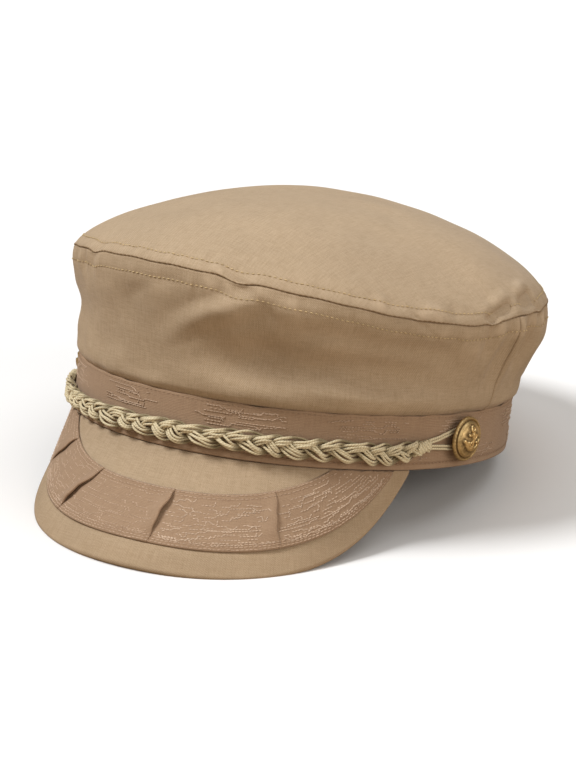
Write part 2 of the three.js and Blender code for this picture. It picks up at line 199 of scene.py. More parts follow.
# The run of the braid, from the wearer's right to the left: shares of BRAID_END_ANGLE and
# BRAID_HEIGHT.
BRAID_RUN = table("angle height", [
    (-1, 1.12), (-0.88, 0.88), (-0.42, 0.88), (0, 1), (0.6, 1.04), (0.87, 0.95), (1, 1.42),
])

# Pleats of the peak ribbon: shares of PEAK_HALF_ANGLE at its outer and inner edge, how high the
# fold stands as a share of PLEAT_RISE, and where it stands highest as a share of the way inwards.
PLEATS = table("outer inner rise top", [
    (-0.68, -0.52, 0.7, 0.6), (-0.36, -0.25, 1.15, 0.36),
    (0.05, 0.08, 1.2, 0.56), (0.47, 0.44, 0.7, 0.5),
])
PLEAT_RISE = 1.9
PLEAT_WAVE = 0.55

# Camera, from the photograph's fit to the level cap
CAMERA_AZIMUTH = 26.791
CAMERA_ELEVATION = 9.495
CAMERA_ROLL = 7.069
CAMERA_DISTANCE = 1400
CAMERA_RAISE = 15.45
CAMERA_SHIFT = -1.64
CAMERA_LENS = 159.66


# Sizes and colours that a user would change

def length(name, description, default):
    """A length property in metres."""
    return FloatProperty(name=name, description=description, default=default, unit="LENGTH",
                         subtype="DISTANCE", min=0.0, precision=5)


def colour(name, description, default):
    """A linear colour property."""
    return FloatVectorProperty(name=name, description=description, default=(*default, 1.0), size=4,
                               subtype="COLOR", min=0.0, max=1.0)


class CapSizes(bpy.types.PropertyGroup):
    """Sizes of the sewing, the weave and the cords"""

    stitch_spacing: length("Stitch Spacing", "From one topstitch to the next", 0.0021)
    stitch_length: length("Stitch Length", "Length of thread that shows in a topstitch", 0.0014)
    stitch_width: length("Stitch Width", "Thickness of the sewing thread", 0.00047)
    topstitch_above: length("Topstitch Above Seam", "From the crown seam to the upper row", 0.0052)
    topstitch_below: length("Topstitch Below Seam", "From the crown seam to the lower row", 0.0056)
    seam_roll: length("Seam Roll", "Radius at which the cloth turns into a seam", 0.0005)
    pucker: length("Pucker Depth", "Depth of the puckers beside the crown seam", 0.00042)
    twill_pitch: length("Twill Pitch", "From one rib of the twill to the next", 0.0008)
    ribbon_pitch: length("Ribbon Rib Pitch", "From one rib of the ribbon to the next", 0.0006)
    ribbon_sheet: length("Ribbon Thickness", "Thickness of the ribbon on the peak", 0.0005)
    float_width: length("Pattern Thread Width", "Thickness of the raised pattern thread", 0.00046)
    float_length: length("Pattern Thread Length", "Length of one dash of pattern thread", 0.0015)
    cord_diameter: length("Cord Diameter", "Diameter of one cord of the braid", 0.00102)
    strand_width: length("Strand Width", "From the first to the last cord of a strand", 0.0027)


class CapColours(bpy.types.PropertyGroup):
    """Colours of the cloths, threads and metal"""

    twill: colour("Twill", "Washed khaki twill of the crown and peak", (0.52, 0.385, 0.255))
    twill_deep: colour("Twill Valleys", "Between the ribs of the twill", (0.33, 0.225, 0.125))
    cotton: colour("Headband", "Cotton of the inside headband", (0.36, 0.27, 0.165))
    ribbon: colour("Ribbon", "Ground of the woven ribbon", (0.405, 0.27, 0.17))
    ribbon_deep: colour("Ribbon Valleys", "Between the ribs of the ribbon", (0.29, 0.178, 0.108))
    pattern: colour("Pattern Thread", "Raised thread of the ribbon's pattern", (0.7, 0.52, 0.375))
    band_pattern: colour("Band Pattern Thread", "Raised thread on the band", (0.56, 0.4, 0.28))
    thread: colour("Sewing Thread", "Golden topstitching thread", (0.7, 0.52, 0.27))
    cord: colour("Cord", "Sage cream cord of the braid", (0.76, 0.64, 0.41))
    # Also the colour of the painted shade where a cord lies under others.
    cord_deep_and_shade: colour("Cord Valleys", "Between the plies of the cord", (0.2, 0.145, 0.065))
    brass: colour("Brass", "Worn high places of the buttons", (0.82, 0.58, 0.27))
    patina: colour("Patina", "Dark recesses of the buttons", (0.13, 0.075, 0.022))
    floor: colour("Floor", "Pale floor under the cap", (0.9, 0.88, 0.86))
    floor_bounce: colour("Floor Bounce", "Light that the floor throws back up", (0.38, 0.295, 0.21))


def measure(name):
    """One of the cap's sizes, in millimetres."""
    return getattr(bpy.context.scene.cap_sizes, name) / MM


def tint(names, share=1.0):
    """A colour of the cap, or the mean of several, times a share."""
    colours = bpy.context.scene.cap_colours
    mean = np.mean([getattr(colours, name)[:3] for name in names.split()], axis=0)
    return (*(mean * share).tolist(), 1.0)


# Curves and surfaces of the level cap

def along(rows, key, column, at, closed=False):
    """A table's column between its rows, on a smooth curve that may close on itself."""
    x, y = rows[key], rows[column]
    last = len(x) - 1
    at = np.asarray(at, float)
    row = np.clip(np.searchsorted(x, at) - 1, 0, last - 1)
    before = np.where(row > 0, row - 1, last - 1 if closed else 0)
    after = np.where(row + 2 <= last, row + 2, 1 if closed else last)
    after = np.minimum(after, last)
    t = np.clip((at - x[row]) / (x[row + 1] - x[row]), 0, 1)
    start, end = y[row], y[row + 1]
    leave, arrive = (end - y[before]) / 2, (y[after] - start) / 2
    rest = 2 * start - 2 * end + leave + arrive
    return start + t * (leave + t * (3 * (end - start) - 2 * leave - arrive + t * rest))


def wrapped(angle):
    """An angle as one from -180 to 180 degrees."""
    return (np.asarray(angle, float) + 180) % 360 - 180


def hump(x):
    """A smooth hump over -1 to 1, 1 in the middle."""
    return np.where(np.abs(x) < 1, np.cos(np.clip(x, -1, 1) * np.pi / 2) ** 2, 0)


def smooth(x):
    """A smooth step from 0 to 1."""
    x = np.clip(x, 0, 1)
    return x * x * (3 - 2 * x)


def bell(x):
    """A soft hill, 1 at 0 and nearly 0 from 2 on."""
    return np.exp(-np.square(x))


def fading(distance, reach):
    """1 at no distance, fading away over a reach."""
    return np.exp(-distance / reach)


def rounded(distance, radius):
    """Height of a round edge at a distance in from it."""
    inside = np.clip(distance, 0, radius)
    return np.sqrt(np.maximum(radius ** 2 - (radius - inside) ** 2, 0))


def crowded(count, share):
    """Steps from 0 to 1, of which a share is drawn towards both ends."""
    way = np.linspace(0, 1, count)
    return share * (1 - np.cos(way * np.pi)) / 2 + (1 - share) * way


def stacked(*columns):
    """Columns as points."""
    return np.stack(np.broadcast_arrays(*columns), axis=-1).astype(float)


def unit(vectors):
    """Vectors with a length of 1."""
    return vectors / np.maximum(np.linalg.norm(vectors, axis=-1, keepdims=True), 1e-12)


def outward(angle):
    """Outward direction of the band's oval."""
    a = np.radians(angle)
    return unit(stacked(np.sin(a) / BAND_WIDTH, -np.cos(a) / BAND_LENGTH, np.zeros_like(a)))


def band_point(angle, offset, height):
    """A point beside the band's oval, offset out from it, at a height."""
    a = np.radians(np.asarray(angle, float))
    on_oval = stacked(BAND_WIDTH / 2 * np.sin(a), -BAND_LENGTH / 2 * np.cos(a), np.asarray(height))
    return on_oval + outward(angle) * np.asarray(offset, float)[..., None]


ROUND_ANGLES = np.linspace(-180, 180, 3601)
ROUND_STEPS = np.linalg.norm(np.diff(band_point(ROUND_ANGLES, 0.0, 0.0), axis=0), axis=1)
ROUND_LENGTHS = np.concatenate([[0], np.cumsum(ROUND_STEPS)])
ROUND_LENGTHS -= ROUND_LENGTHS[len(ROUND_LENGTHS) // 2]


def arc_at(angle):
    """Distance round the band from its front to an angle."""
    return np.interp(angle, ROUND_ANGLES, ROUND_LENGTHS)


def angle_at(arc):
    """Angle at a distance round the band from its front."""
    return np.interp(arc, ROUND_LENGTHS, ROUND_ANGLES)


def ripple(points, wavelength, seed, waves=24):
    """A smooth random field over points, about 1 high."""
    draw = np.random.RandomState(seed)
    heading = unit(draw.normal(size=(waves, 3)))
    number = 2 * np.pi / (wavelength * draw.uniform(0.7, 1.6, waves))
    phase = draw.uniform(0, 2 * np.pi, waves)
    return np.sin(points @ (heading * number[:, None]).T + phase).sum(-1) * math.sqrt(2 / waves)


def ripples(points, *rows):
    """A sum of random fields: the height, wavelength and seed of each."""
    return sum(height * ripple(points, wavelength, seed) for height, wavelength, seed in rows)


def seam_height(angle):
    """Height of the seam between crown top and crown side, without its pinches."""
    return FRONT_SEAM_HEIGHT * along(CROWN_OUTLINE, "angle", "height", wrapped(angle), True)


def seam_drop(angle):
    """How far pinches and uneven sewing pull the seam down."""
    drop = 0.25 * np.sin(np.radians(angle) * 23 + 1) * np.sin(np.radians(angle) * 9)
    for at, width, depth in zip(PINCHES["angle"], PINCHES["width"], PINCHES["drop"]):
        drop = drop + depth * hump(wrapped(angle - at) / (width * 1.6))
    return drop


def seam_overhang(angle):
    """How far the seam stands out over the band."""
    return CROWN_OVERHANG * along(CROWN_OUTLINE, "angle", "overhang", wrapped(angle), True)


def side_offset(angle, share):
    """How far the crown side stands out from the band at a share of its height."""
    out = along(SIDE_PROFILE, "height", "out", share)
    for rows in (SIDE_FOLDS, CLOTH_FOLDS):
        for at, spread, height, reach, climb, depth in zip(*rows.values()):
            turn = wrapped(angle - at)
            out = out + depth * hump(turn / spread) * hump((share - height - climb * turn) / reach)
    return seam_overhang(angle) * out


def dome_point(angle, share, wall=0.0):
    """A point of the crown top, at a share of the way out to its seam."""
    middle = FRONT_SEAM_HEIGHT * CROWN_OUTLINE["height"][1:].mean()
    rise = (CROWN_RISE - wall) * (1 - share ** DOME_POWER) ** (1 / SHOULDER_POWER)
    height = middle + (seam_height(angle) - middle) * share ** SEAM_FADE + rise
    height = height - seam_drop(angle) * share ** 16
    edge = band_point(angle, seam_overhang(angle) - wall, 0.0)
    return stacked(
        edge[..., 0] * share, edge[..., 1] * share + CROWN_APEX_SHIFT * (1 - share * share), height)


def peak_reach(share):
    """How far the peak reaches out from the band."""
    curve = np.maximum(1 - np.abs(share) ** PEAK_SHOULDER, 0) ** (1 / PEAK_CORNER)
    return PEAK_END_LENGTH + (PEAK_LENGTH - PEAK_END_LENGTH) * curve


def peak_slope(share):
    """How steeply the peak hangs, in radians."""
    return np.radians(PEAK_FRONT_SLOPE + (PEAK_END_SLOPE - PEAK_FRONT_SLOPE) * share * share)


def peak_point(share, reach, lift):
    """A point on the peak: out along its slope, and lifted off its outer face."""
    slope = peak_slope(share)
    offset = reach * np.cos(slope) + lift * np.sin(slope) - PEAK_INSET
    return band_point(share * PEAK_HALF_ANGLE, offset, lift * np.cos(slope) - reach * np.sin(slope))


def peak_start(share, lift):
    """Where a layer of the peak starts, level and just under the band."""
    slope = peak_slope(share)
    return (SEAT_GAP + lift * np.cos(slope)) / np.sin(slope)


def rest_tilt():
    """The tilt at which the peak's edge and the back of the band touch one level surface."""
    share = np.arange(PEAK_STEPS + 1) / PEAK_STEPS
    edge = peak_point(share, peak_reach(share), -PEAK_WALL / 2)
    return np.arctan2(-edge[:, 2], BAND_LENGTH / 2 - edge[:, 1]).max()


TILT = rest_tilt()
TURN = np.array([
    [1, 0, 0],
    [0, math.cos(TILT), math.sin(TILT)],
    [0, -math.sin(TILT), math.cos(TILT)],
])
BAND_LOW, BAND_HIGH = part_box("band_ribbon")
BAND_BACK = BAND_LENGTH / 2 * math.cos(TILT) + BAND_HEIGHT * math.sin(TILT)
PLACE = np.array([
    (BAND_LOW.x + BAND_HIGH.x) / 2 / MM,
    BAND_HIGH.y / MM - BAND_BACK,
    BAND_LENGTH / 2 * math.sin(TILT) - PRESSED_FLAT,
])


def at_rest(points):
    """Points of the level cap in the frame, in metres, pressed flat on what it rests on."""
    placed = np.asarray(points, float) @ TURN.T + PLACE
    placed[..., 2] = np.maximum(placed[..., 2], 0)
    return placed * MM


# Meshes

WELD = 2e-6


def looped(grid):
    """A line or a grid with its first row again at its end."""
    return np.concatenate([grid, grid[:1]])


def corners_of(grid):
    """What a grid holds at the four corners of each of its faces."""
    a, b = grid[:-1], grid[1:]
    corners = np.stack([a[:, :-1], b[:, :-1], b[:, 1:], a[:, 1:]], 2)
    return corners.reshape(-1, 4, *grid.shape[2:])


def linked(name, data):
    """A new object in the scene."""
    made = bpy.data.objects.new(name, data)
    bpy.context.scene.collection.objects.link(made)
    return made


def piece_from(name, points, faces, uvs, finish, marks, weld=True):
    """A closed mesh piece with its faces pointing outwards."""
    mesh = bpy.data.meshes.new(name)
    mesh.from_pydata(at_rest(points).tolist(), [], faces)
    layer = mesh.uv_layers.new(name="Cloth")
    layer.data.foreach_set("uv", np.asarray(uvs, np.float32).ravel())
    for mark, values in marks.items():
        attribute = mesh.attributes.new(mark, "FLOAT", "POINT")
        attribute.data.foreach_set("value", np.asarray(values, np.float32).ravel())
    shape = bmesh.new()
    shape.from_mesh(mesh)
    if weld:
        bmesh.ops.remove_doubles(shape, verts=shape.verts, dist=WELD)
        same = {}
        for face in shape.faces:
            same.setdefault(frozenset(corner.index for corner in face.verts), []).append(face)
        twins = [face for group in same.values() if len(group) > 1 for face in group]
        bmesh.ops.delete(shape, geom=twins, context="FACES")
    if shape.calc_volume(signed=True) < 0:
        bmesh.ops.reverse_faces(shape, faces=shape.faces)
    for face in shape.faces:
        face.smooth = True
    shape.to_mesh(mesh)
    shape.free()
    mesh.materials.append(finish_of(finish))
    return linked(name, mesh)


def shell(name, outer, inner, uv, closed, finish, marks):
    """A wall of cloth between two grids of points, closed along its edges."""
    count = outer.shape[0] * outer.shape[1]
    numbers = np.arange(count).reshape(outer.shape[:2])
    if closed:
        numbers = looped(numbers)
    front, flat = corners_of(numbers), corners_of(uv)
    faces, uvs = [front, front[:, ::-1] + count], [flat, flat[:, ::-1]]
    rims = [(numbers[:, 0], uv[:, 0], -1), (numbers[:, -1], uv[:, -1], 1)]
    if not closed:
        rims += [(numbers[0], uv[0], 1), (numbers[-1], uv[-1], -1)]
    for line, places, way in rims:
        a, b = line[:-1], line[1:]
        faces.append(np.stack([a, b, b + count, a + count], 1)[:, ::way])
        a, b = places[:-1], places[1:]
        uvs.append(np.stack([a, b, b, a], 1)[:, ::way])
    points = np.concatenate([outer.reshape(-1, 3), inner.reshape(-1, 3)])
    both = {mark: np.tile(values.ravel(), 2) for mark, values in marks.items()}
    faces = np.concatenate(faces).tolist()
    return piece_from(name, points, faces, np.concatenate(uvs), finish, both)


def normals_of(grid, closed):
    """Unit normals of a grid of points."""
    if closed:
        padded = np.concatenate([grid[-1:], grid, grid[:1]])
        across = (padded[2:] - padded[:-2]) / 2
    else:
        across = np.gradient(grid, axis=0)
    return unit(np.cross(across, np.gradient(grid, axis=1)))


def lengths_along(grid):
    """Distance along each row of a grid from its first point."""
    steps = np.linalg.norm(np.diff(grid, axis=1), axis=-1)
    return np.concatenate([np.zeros((len(grid), 1)), np.cumsum(steps, axis=1)], axis=1)


def tubes(name, paths, diameter, sides, under_shades):
    """Round cords along paths, each a pair of points and facing directions, as one mesh."""
    points, faces, uvs = [], [], []
    turn = np.linspace(0, 2 * np.pi, sides, endpoint=False)[:, None]
    girth = np.arange(sides + 1) * (np.pi * diameter / sides)
    start = 0
    for path, facing in paths:
        heading = unit(np.gradient(path, axis=0))
        normal = unit(facing - (facing * heading).sum(-1, keepdims=True) * heading)
        side = np.cross(heading, normal)
        ring = normal[:, None] * np.cos(turn) + side[:, None] * np.sin(turn)
        points.append((path[:, None] + ring * diameter / 2).reshape(-1, 3))
        numbers = looped(start + np.arange(len(path) * sides).reshape(-1, sides).T)
        faces += corners_of(numbers).tolist()
        faces += [numbers[-2::-1, 0].tolist(), numbers[:-1, -1].tolist()]
        run = lengths_along(path[None])[0]
        uvs.append(corners_of(np.stack(np.meshgrid(run, girth), -1)).reshape(-1, 2))
        uvs.append(np.zeros((2 * sides, 2)))
        start += len(path) * sides
    # Painted shade of each cord, carried as its under mark.
    marks = {"under": np.repeat(np.concatenate(under_shades), sides)}
    return piece_from(name, np.concatenate(points), faces, np.concatenate(uvs), "Braid Cord", marks,
                      weld=False)


def finished(piece, slot, *nodes):
    """A finished piece rides on the cap's body and stands for its solids."""
    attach(piece, "root")
    if nodes:
        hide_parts(*nodes)
    return piece


# Node trees

def feed(node, inputs):
    """Links or sets the inputs of a node."""
    for socket, value in inputs.items():
        if isinstance(value, bpy.types.NodeSocket):
            node.id_data.links.new(value, node.inputs[socket])
        else:
            node.inputs[socket].default_value = value


def add(tree, kind, inputs=None, **settings):
    """A new node with its settings and its inputs."""
    made = tree.nodes.new(kind)
    for key, value in settings.items():
        setattr(made, key, value)
    feed(made, inputs or {})
    return made


def source(tree, kind, output, **settings):
    """An output of a node that needs no inputs."""
    return add(tree, kind, **settings).outputs[output]


def tree_of(*values):
    """The node tree that holds the sockets among some values."""
    return next(value.id_data for value in values if isinstance(value, bpy.types.NodeSocket))


def calc(operation, *values):
    """The output of a math node."""
    made = add(tree_of(*values), "ShaderNodeMath", dict(enumerate(values)), operation=operation)
    return made.outputs[0]


def plus(a, b):
    """The output of an adding node."""
    return calc("ADD", a, b)


def times(a, b):
    """The output of a multiplying node."""
    return calc("MULTIPLY", a, b)


def swing(value, size):
    """A value around 0.5 as one around 0, times a size."""
    return times(calc("SUBTRACT", value, 0.5), size)


def mixed(share, a, b):
    """The output of a colour mix."""
    inputs = {0: share, 6: a, 7: b}
    return add(tree_of(share, a, b), "ShaderNodeMix", inputs, data_type="RGBA").outputs[2]


def ranged(value, low, high, to_low=0.0, to_high=1.0):
    """A value moved from one range to another, and kept inside it."""
    inputs = {0: value, 1: low, 2: high, 3: to_low, 4: to_high}
    return add(tree_of(value), "ShaderNodeMapRange", inputs).outputs[0]


def noise(vector, scale=1.0, detail=2.0, roughness=0.5):
    """A noise value between about 0.3 and 0.7."""
    inputs = {"Vector": vector, "Scale": scale, "Detail": detail, "Roughness": roughness}
    return add(tree_of(vector), "ShaderNodeTexNoise", inputs).outputs["Fac"]


def stretched(vector, x, y, turn=0.0):
    """A vector scaled along X and Y, after a turn about Z."""
    inputs = {"Vector": vector, "Scale": (x, y, 1.0), "Rotation": (0.0, 0.0, turn)}
    return add(tree_of(vector), "ShaderNodeMapping", inputs).outputs[0]


def bumped(height, strength, distance):
    """Normals bent by a height."""
    inputs = {"Height": height, "Strength": strength, "Distance": distance}
    return add(tree_of(height), "ShaderNodeBump", inputs).outputs[0]


def grouped(tree, group, inputs):
    """The outputs of a node group placed in a material."""
    return add(tree, "ShaderNodeGroup", inputs, node_tree=group).outputs


def object_place(tree):
    """The place in the object's own coordinates."""
    return source(tree, "ShaderNodeTexCoord", "Object")


def flat_place(tree):
    """The place on the flat cloth, in millimetres."""
    return source(tree, "ShaderNodeUVMap", 0, uv_map="Cloth")


def mark_of(tree, name):
    """A mark that a mesh carries on its points."""
    return source(tree, "ShaderNodeAttribute", "Fac", attribute_name=name)


def seen_by_camera(tree):
    """1 where the camera looks straight at it."""
    return source(tree, "ShaderNodeLightPath", "Is Camera Ray")


def new_group(kind, name, inputs, outputs):
    """A node group with named sockets: the group, what it is given, and its end."""
    group = bpy.data.node_groups.new(name, kind)
    for label, socket_kind, default in inputs:
        socket = group.interface.new_socket(
            name=label, in_out="INPUT", socket_type="NodeSocket" + socket_kind)
        if default is not None:
            socket.default_value = default
    for label, socket_kind in outputs:
        group.interface.new_socket(
            name=label, in_out="OUTPUT", socket_type="NodeSocket" + socket_kind)
    start = group.nodes.new("NodeGroupInput")
    return group, start.outputs, group.nodes.new("NodeGroupOutput")


def woven_group():
    """Ribs of a woven cloth: their height, and slubs where a yarn is thicker."""
    ready = bpy.data.node_groups.get("Woven Ribs")
    if ready:
        return ready
    group, given, end = new_group(
        "ShaderNodeTree", "Woven Ribs",
        [("Flat Place", "Vector", None), ("Pitch", "Float", 0.8), ("Lean", "Float", 1.0),
         ("Across", "Float", 0.4)],
        [("Height", "Float"), ("Slub", "Float")],
    )
    flat = given["Flat Place"]
    place = add(group, "ShaderNodeSeparateXYZ", {0: flat}).outputs
    drift = noise(stretched(flat, 0.11, 0.11), 1.0, 1.0)
    leaned = plus(plus(place[1], times(drift, 1.2)), times(place[0], given["Lean"]))
    turns = calc("DIVIDE", 2 * math.pi, given["Pitch"])
    rib = calc("SINE", times(leaned, turns))
    weft = calc("SINE", times(place[0], times(turns, 1.35)))
    weave = plus(rib, times(weft, given["Across"]))
    fuzz = noise(stretched(flat, 2.6, 2.6), 1.0, 2.0, 0.6)
    long_yarn = noise(stretched(flat, 0.16, 1.7))
    tall_yarn = noise(stretched(flat, 1.5, 0.14))
    feed(end, {
        "Height": plus(times(weave, 0.3), plus(swing(fuzz, 1.6), 0.5)),
        "Slub": ranged(times(plus(long_yarn, tall_yarn), 0.5), 0.38, 0.62),
    })
    return group


def fade_group():
    """Uneven fading of washed cloth, and wear along its raised edges."""
    ready = bpy.data.node_groups.get("Washed Fade")
    if ready:
        return ready
    group, given, end = new_group(
        "ShaderNodeTree", "Washed Fade",
        [("Colour", "Color", (0.5, 0.5, 0.5, 1)), ("Amount", "Float", 0.08), ("Worn", "Float", 0.0),
         ("Worn Colour", "Color", (0.7, 0.6, 0.5, 1))],
        [("Colour", "Color")],
    )
    place = object_place(group)
    small = noise(place, 240.0, 3.0, 0.6)
    blotch = plus(times(noise(place, 26.0, 3.0, 0.55), 0.7), times(small, 0.3))
    bright = plus(1.0, times(swing(blotch, given["Amount"]), 4.0))
    scaled = add(group, "ShaderNodeVectorMath", {0: given["Colour"], 3: bright}, operation="SCALE")
    broken = times(given["Worn"], ranged(small, 0.35, 0.65, 0.35, 1.0))
    feed(end, {"Colour": mixed(broken, scaled.outputs[0], given["Worn Colour"])})
    return group


# Materials: each look gives the inputs of its Principled shader

SHADOW = np.array((0.62, 0.5, 0.36))
PLY_PITCH = 1.15


def cloth(tree, ground, deep, share, pitch, lean, across, depth, sheen, fade):
    """A woven cloth: ribs, slubs, washed fading, soft sheen, and painted shade along seams and
    stitches.
    """
    woven = grouped(tree, woven_group(), {
        "Flat Place": flat_place(tree), "Pitch": measure(pitch), "Lean": lean, "Across": across})
    rib = ranged(plus(woven["Height"], swing(woven["Slub"], 0.44)), -0.25, 0.95)
    faded = grouped(tree, fade_group(), {
        "Colour": mixed(rib, tint(deep, share), tint(ground)), "Amount": fade,
        "Worn Colour": [min(x * 1.16, 1.0) for x in tint(ground)], "Worn": mark_of(tree, "worn")})
    # Painted shade: the cloth is darkened towards a shadow colour where its shade mark is set.
    shade_share = ranged(mark_of(tree, "needled"), 0.0, 2.0, 0.0, 0.9)
    return {
        "Base Color": mixed(shade_share, faded["Colour"], tint(deep, share * SHADOW)),
        "Roughness": ranged(woven["Height"], 0.0, 1.0, 0.96, 0.82),
        "Specular IOR Level": 0.22,
        "Sheen Weight": sheen,
        "Sheen Roughness": 0.45,
        "Normal": bumped(woven["Height"], 0.55, depth),
    }


def thread(tree, ground, deep, share, roughness, sheen):
    """Twisted thread: fine fibres, darker between them."""
    place = object_place(tree)
    fibre = noise(place, 2600.0, 2.0, 0.6)
    shade = plus(times(fibre, 0.6), times(noise(place, 120.0), 0.4))
    return {
        "Base Color": mixed(ranged(shade, 0.38, 0.6), tint(deep, share), tint(ground)),
        "Roughness": ranged(fibre, 0.35, 0.65, roughness + 0.1, roughness),
        "Specular IOR Level": 0.3,
        "Sheen Weight": sheen,
        "Normal": bumped(fibre, 0.5, 0.0001),
    }


def cord(tree):
    """Twisted cord: plies that slant round it, with painted shade where it lies under others."""
    flat = flat_place(tree)
    place = add(tree, "ShaderNodeSeparateXYZ", {0: flat}).outputs
    girth = math.pi * measure("cord_diameter")
    turns = plus(times(place[0], 2 * math.pi / PLY_PITCH), times(place[1], 4 * math.pi / girth))
    ply = calc("MULTIPLY_ADD", calc("SINE", turns), 0.5, 0.5)
    fibre = noise(stretched(flat, 1.0, 7.0, 0.9), 1.4, 3.0, 0.6)
    height = plus(times(ply, 0.75), times(fibre, 0.5))
    light, dark = tint("cord"), tint("cord_deep_and_shade")
    softened = mixed(0.38, light, mixed(ranged(height, 0.2, 0.85), dark, light))
    faded = grouped(tree, fade_group(), {"Colour": softened, "Amount": 0.07, "Worn": 0.0})
    return {
        # Painted shade: a cord is darkened towards its valley colour where its strand lies under
        # others.
        "Base Color": mixed(times(mark_of(tree, "under"), 0.9), faded["Colour"], dark),
        "Roughness": ranged(fibre, 0.3, 0.7, 0.62, 0.46),
        "Specular IOR Level": 0.42,
        "Sheen Weight": 0.15,
        "Normal": bumped(height, 0.5, 0.00014),
    }


def brass(tree):
    """Aged brass: bright where it is rubbed, dark brown in the recesses."""
    place = object_place(tree)
    grime = noise(place, 900.0, 4.0, 0.65)
    recess = plus(mark_of(tree, "recess"), swing(grime, 0.9))
    dark = ranged(plus(recess, times(noise(place, 160.0), 0.3)), 0.3, 1.05)
    return {
        "Base Color": mixed(dark, tint("brass"), tint("patina")),
        "Roughness": ranged(dark, 0.0, 1.0, 0.27, 0.62),
        "Metallic": ranged(dark, 0.0, 1.0, 1.0, 0.55),
        "Normal": bumped(grime, 0.25, 0.0001),
    }


def pale_floor(tree):
    """A pale floor that throws back a warmer and darker light than it shows."""
    tone = ranged(noise(object_place(tree), 3.0), 0.3, 0.7)
    shown = mixed(tone, tint("floor"), tint("floor", 0.99))
    return {
        "Base Color": mixed(seen_by_camera(tree), tint("floor_bounce"), shown),
        "Roughness": 0.9,
        "Specular IOR Level": 0.1,
    }


# Each material's look and the look's values. A cloth has its ground, the colour between its ribs
# and the share of it, the pitch, the lean, the weft's strength, the bump, the sheen and the fading.
# A thread has its ground, the colour between fibres and the share of it, roughness and sheen.
LOOKS = {
    "Khaki Twill": (cloth, "twill", "twill_deep", 1.0, "twill_pitch", 1.0, 0.35, 0.00013, 0.1, 0.08),
    "Headband Cotton": (cloth, "cotton", "cotton", 0.6, "twill_pitch", 0.0, 0.9, 0.00012, 0.08, 0.06),
    "Woven Ribbon": (cloth, "ribbon", "ribbon_deep", 1.0, "ribbon_pitch", 0.0, 0.3, 0.00012, 0.16,
                     0.05),
    "Sewing Thread": (thread, "thread", "thread", 0.6, 0.6, 0.1),
    "Pattern Thread": (thread, "pattern", "pattern", 0.72, 0.5, 0.15),
    "Faint Pattern Thread": (thread, "pattern band_pattern", "ribbon", 1.0, 0.5, 0.15),
    "Band Pattern Thread": (thread, "band_pattern", "ribbon", 1.0, 0.5, 0.15),
    "Ribbon Thread": (thread, "ribbon", "ribbon_deep", 1.0, 0.6, 0.1),
    "Seam Thread": (thread, "twill_deep", "twill_deep", SHADOW, 0.8, 0.05),
    "Braid Cord": (cord,),
    "Aged Brass": (brass,),
    "Pale Floor": (pale_floor,),
}


def finish_of(name):
    """One of the materials, made when it is first asked for."""
    ready = bpy.data.materials.get(name)
    if ready:
        return ready
    material = bpy.data.materials.new(name)
    material.use_nodes = True
    tree = material.node_tree
    look, *values = LOOKS[name]
    feed(tree.nodes["Principled BSDF"], look(tree, *values))
    return material


# Stitches and dashes of thread

STITCH = ("stitch_spacing", "stitch_length", "stitch_width")
FLOAT = ("float_length", "float_length", "float_width")

# Each piece of dashes: its slot, thread and sizes, the shares of those sizes for the spacing, the
# length and the width, and how far the dashes swing.
DASHES = {
    "crown_topstitching": ("khaki_twill", "Sewing Thread", STITCH, 1, 1, 1, 0.08),
    "crown_seam_stitching": ("khaki_twill", "Seam Thread", STITCH, 1.1, 1.25, 1, 0.12),
    "band_ribbon_pattern": ("jacquard_ribbon", "Band Pattern Thread", FLOAT, 0.82, 1, 1, 0.05),
    "band_stitching": ("jacquard_ribbon", "Ribbon Thread", STITCH, 1, 1, 0.85, 0.06),
    "peak_ribbon_stitching": (
        "jacquard_ribbon", "Faint Pattern Thread", STITCH, 0.85, 1.25, 0.85, 0.16),
    "peak_ribbon_pattern": ("jacquard_ribbon", "Pattern Thread", FLOAT, 0.8, 0.9, 1, 0.08),
    "peak_ribbon_faint_pattern": (
        "jacquard_ribbon", "Faint Pattern Thread", FLOAT, 0.8, 0.8, 0.85, 0.08),
}


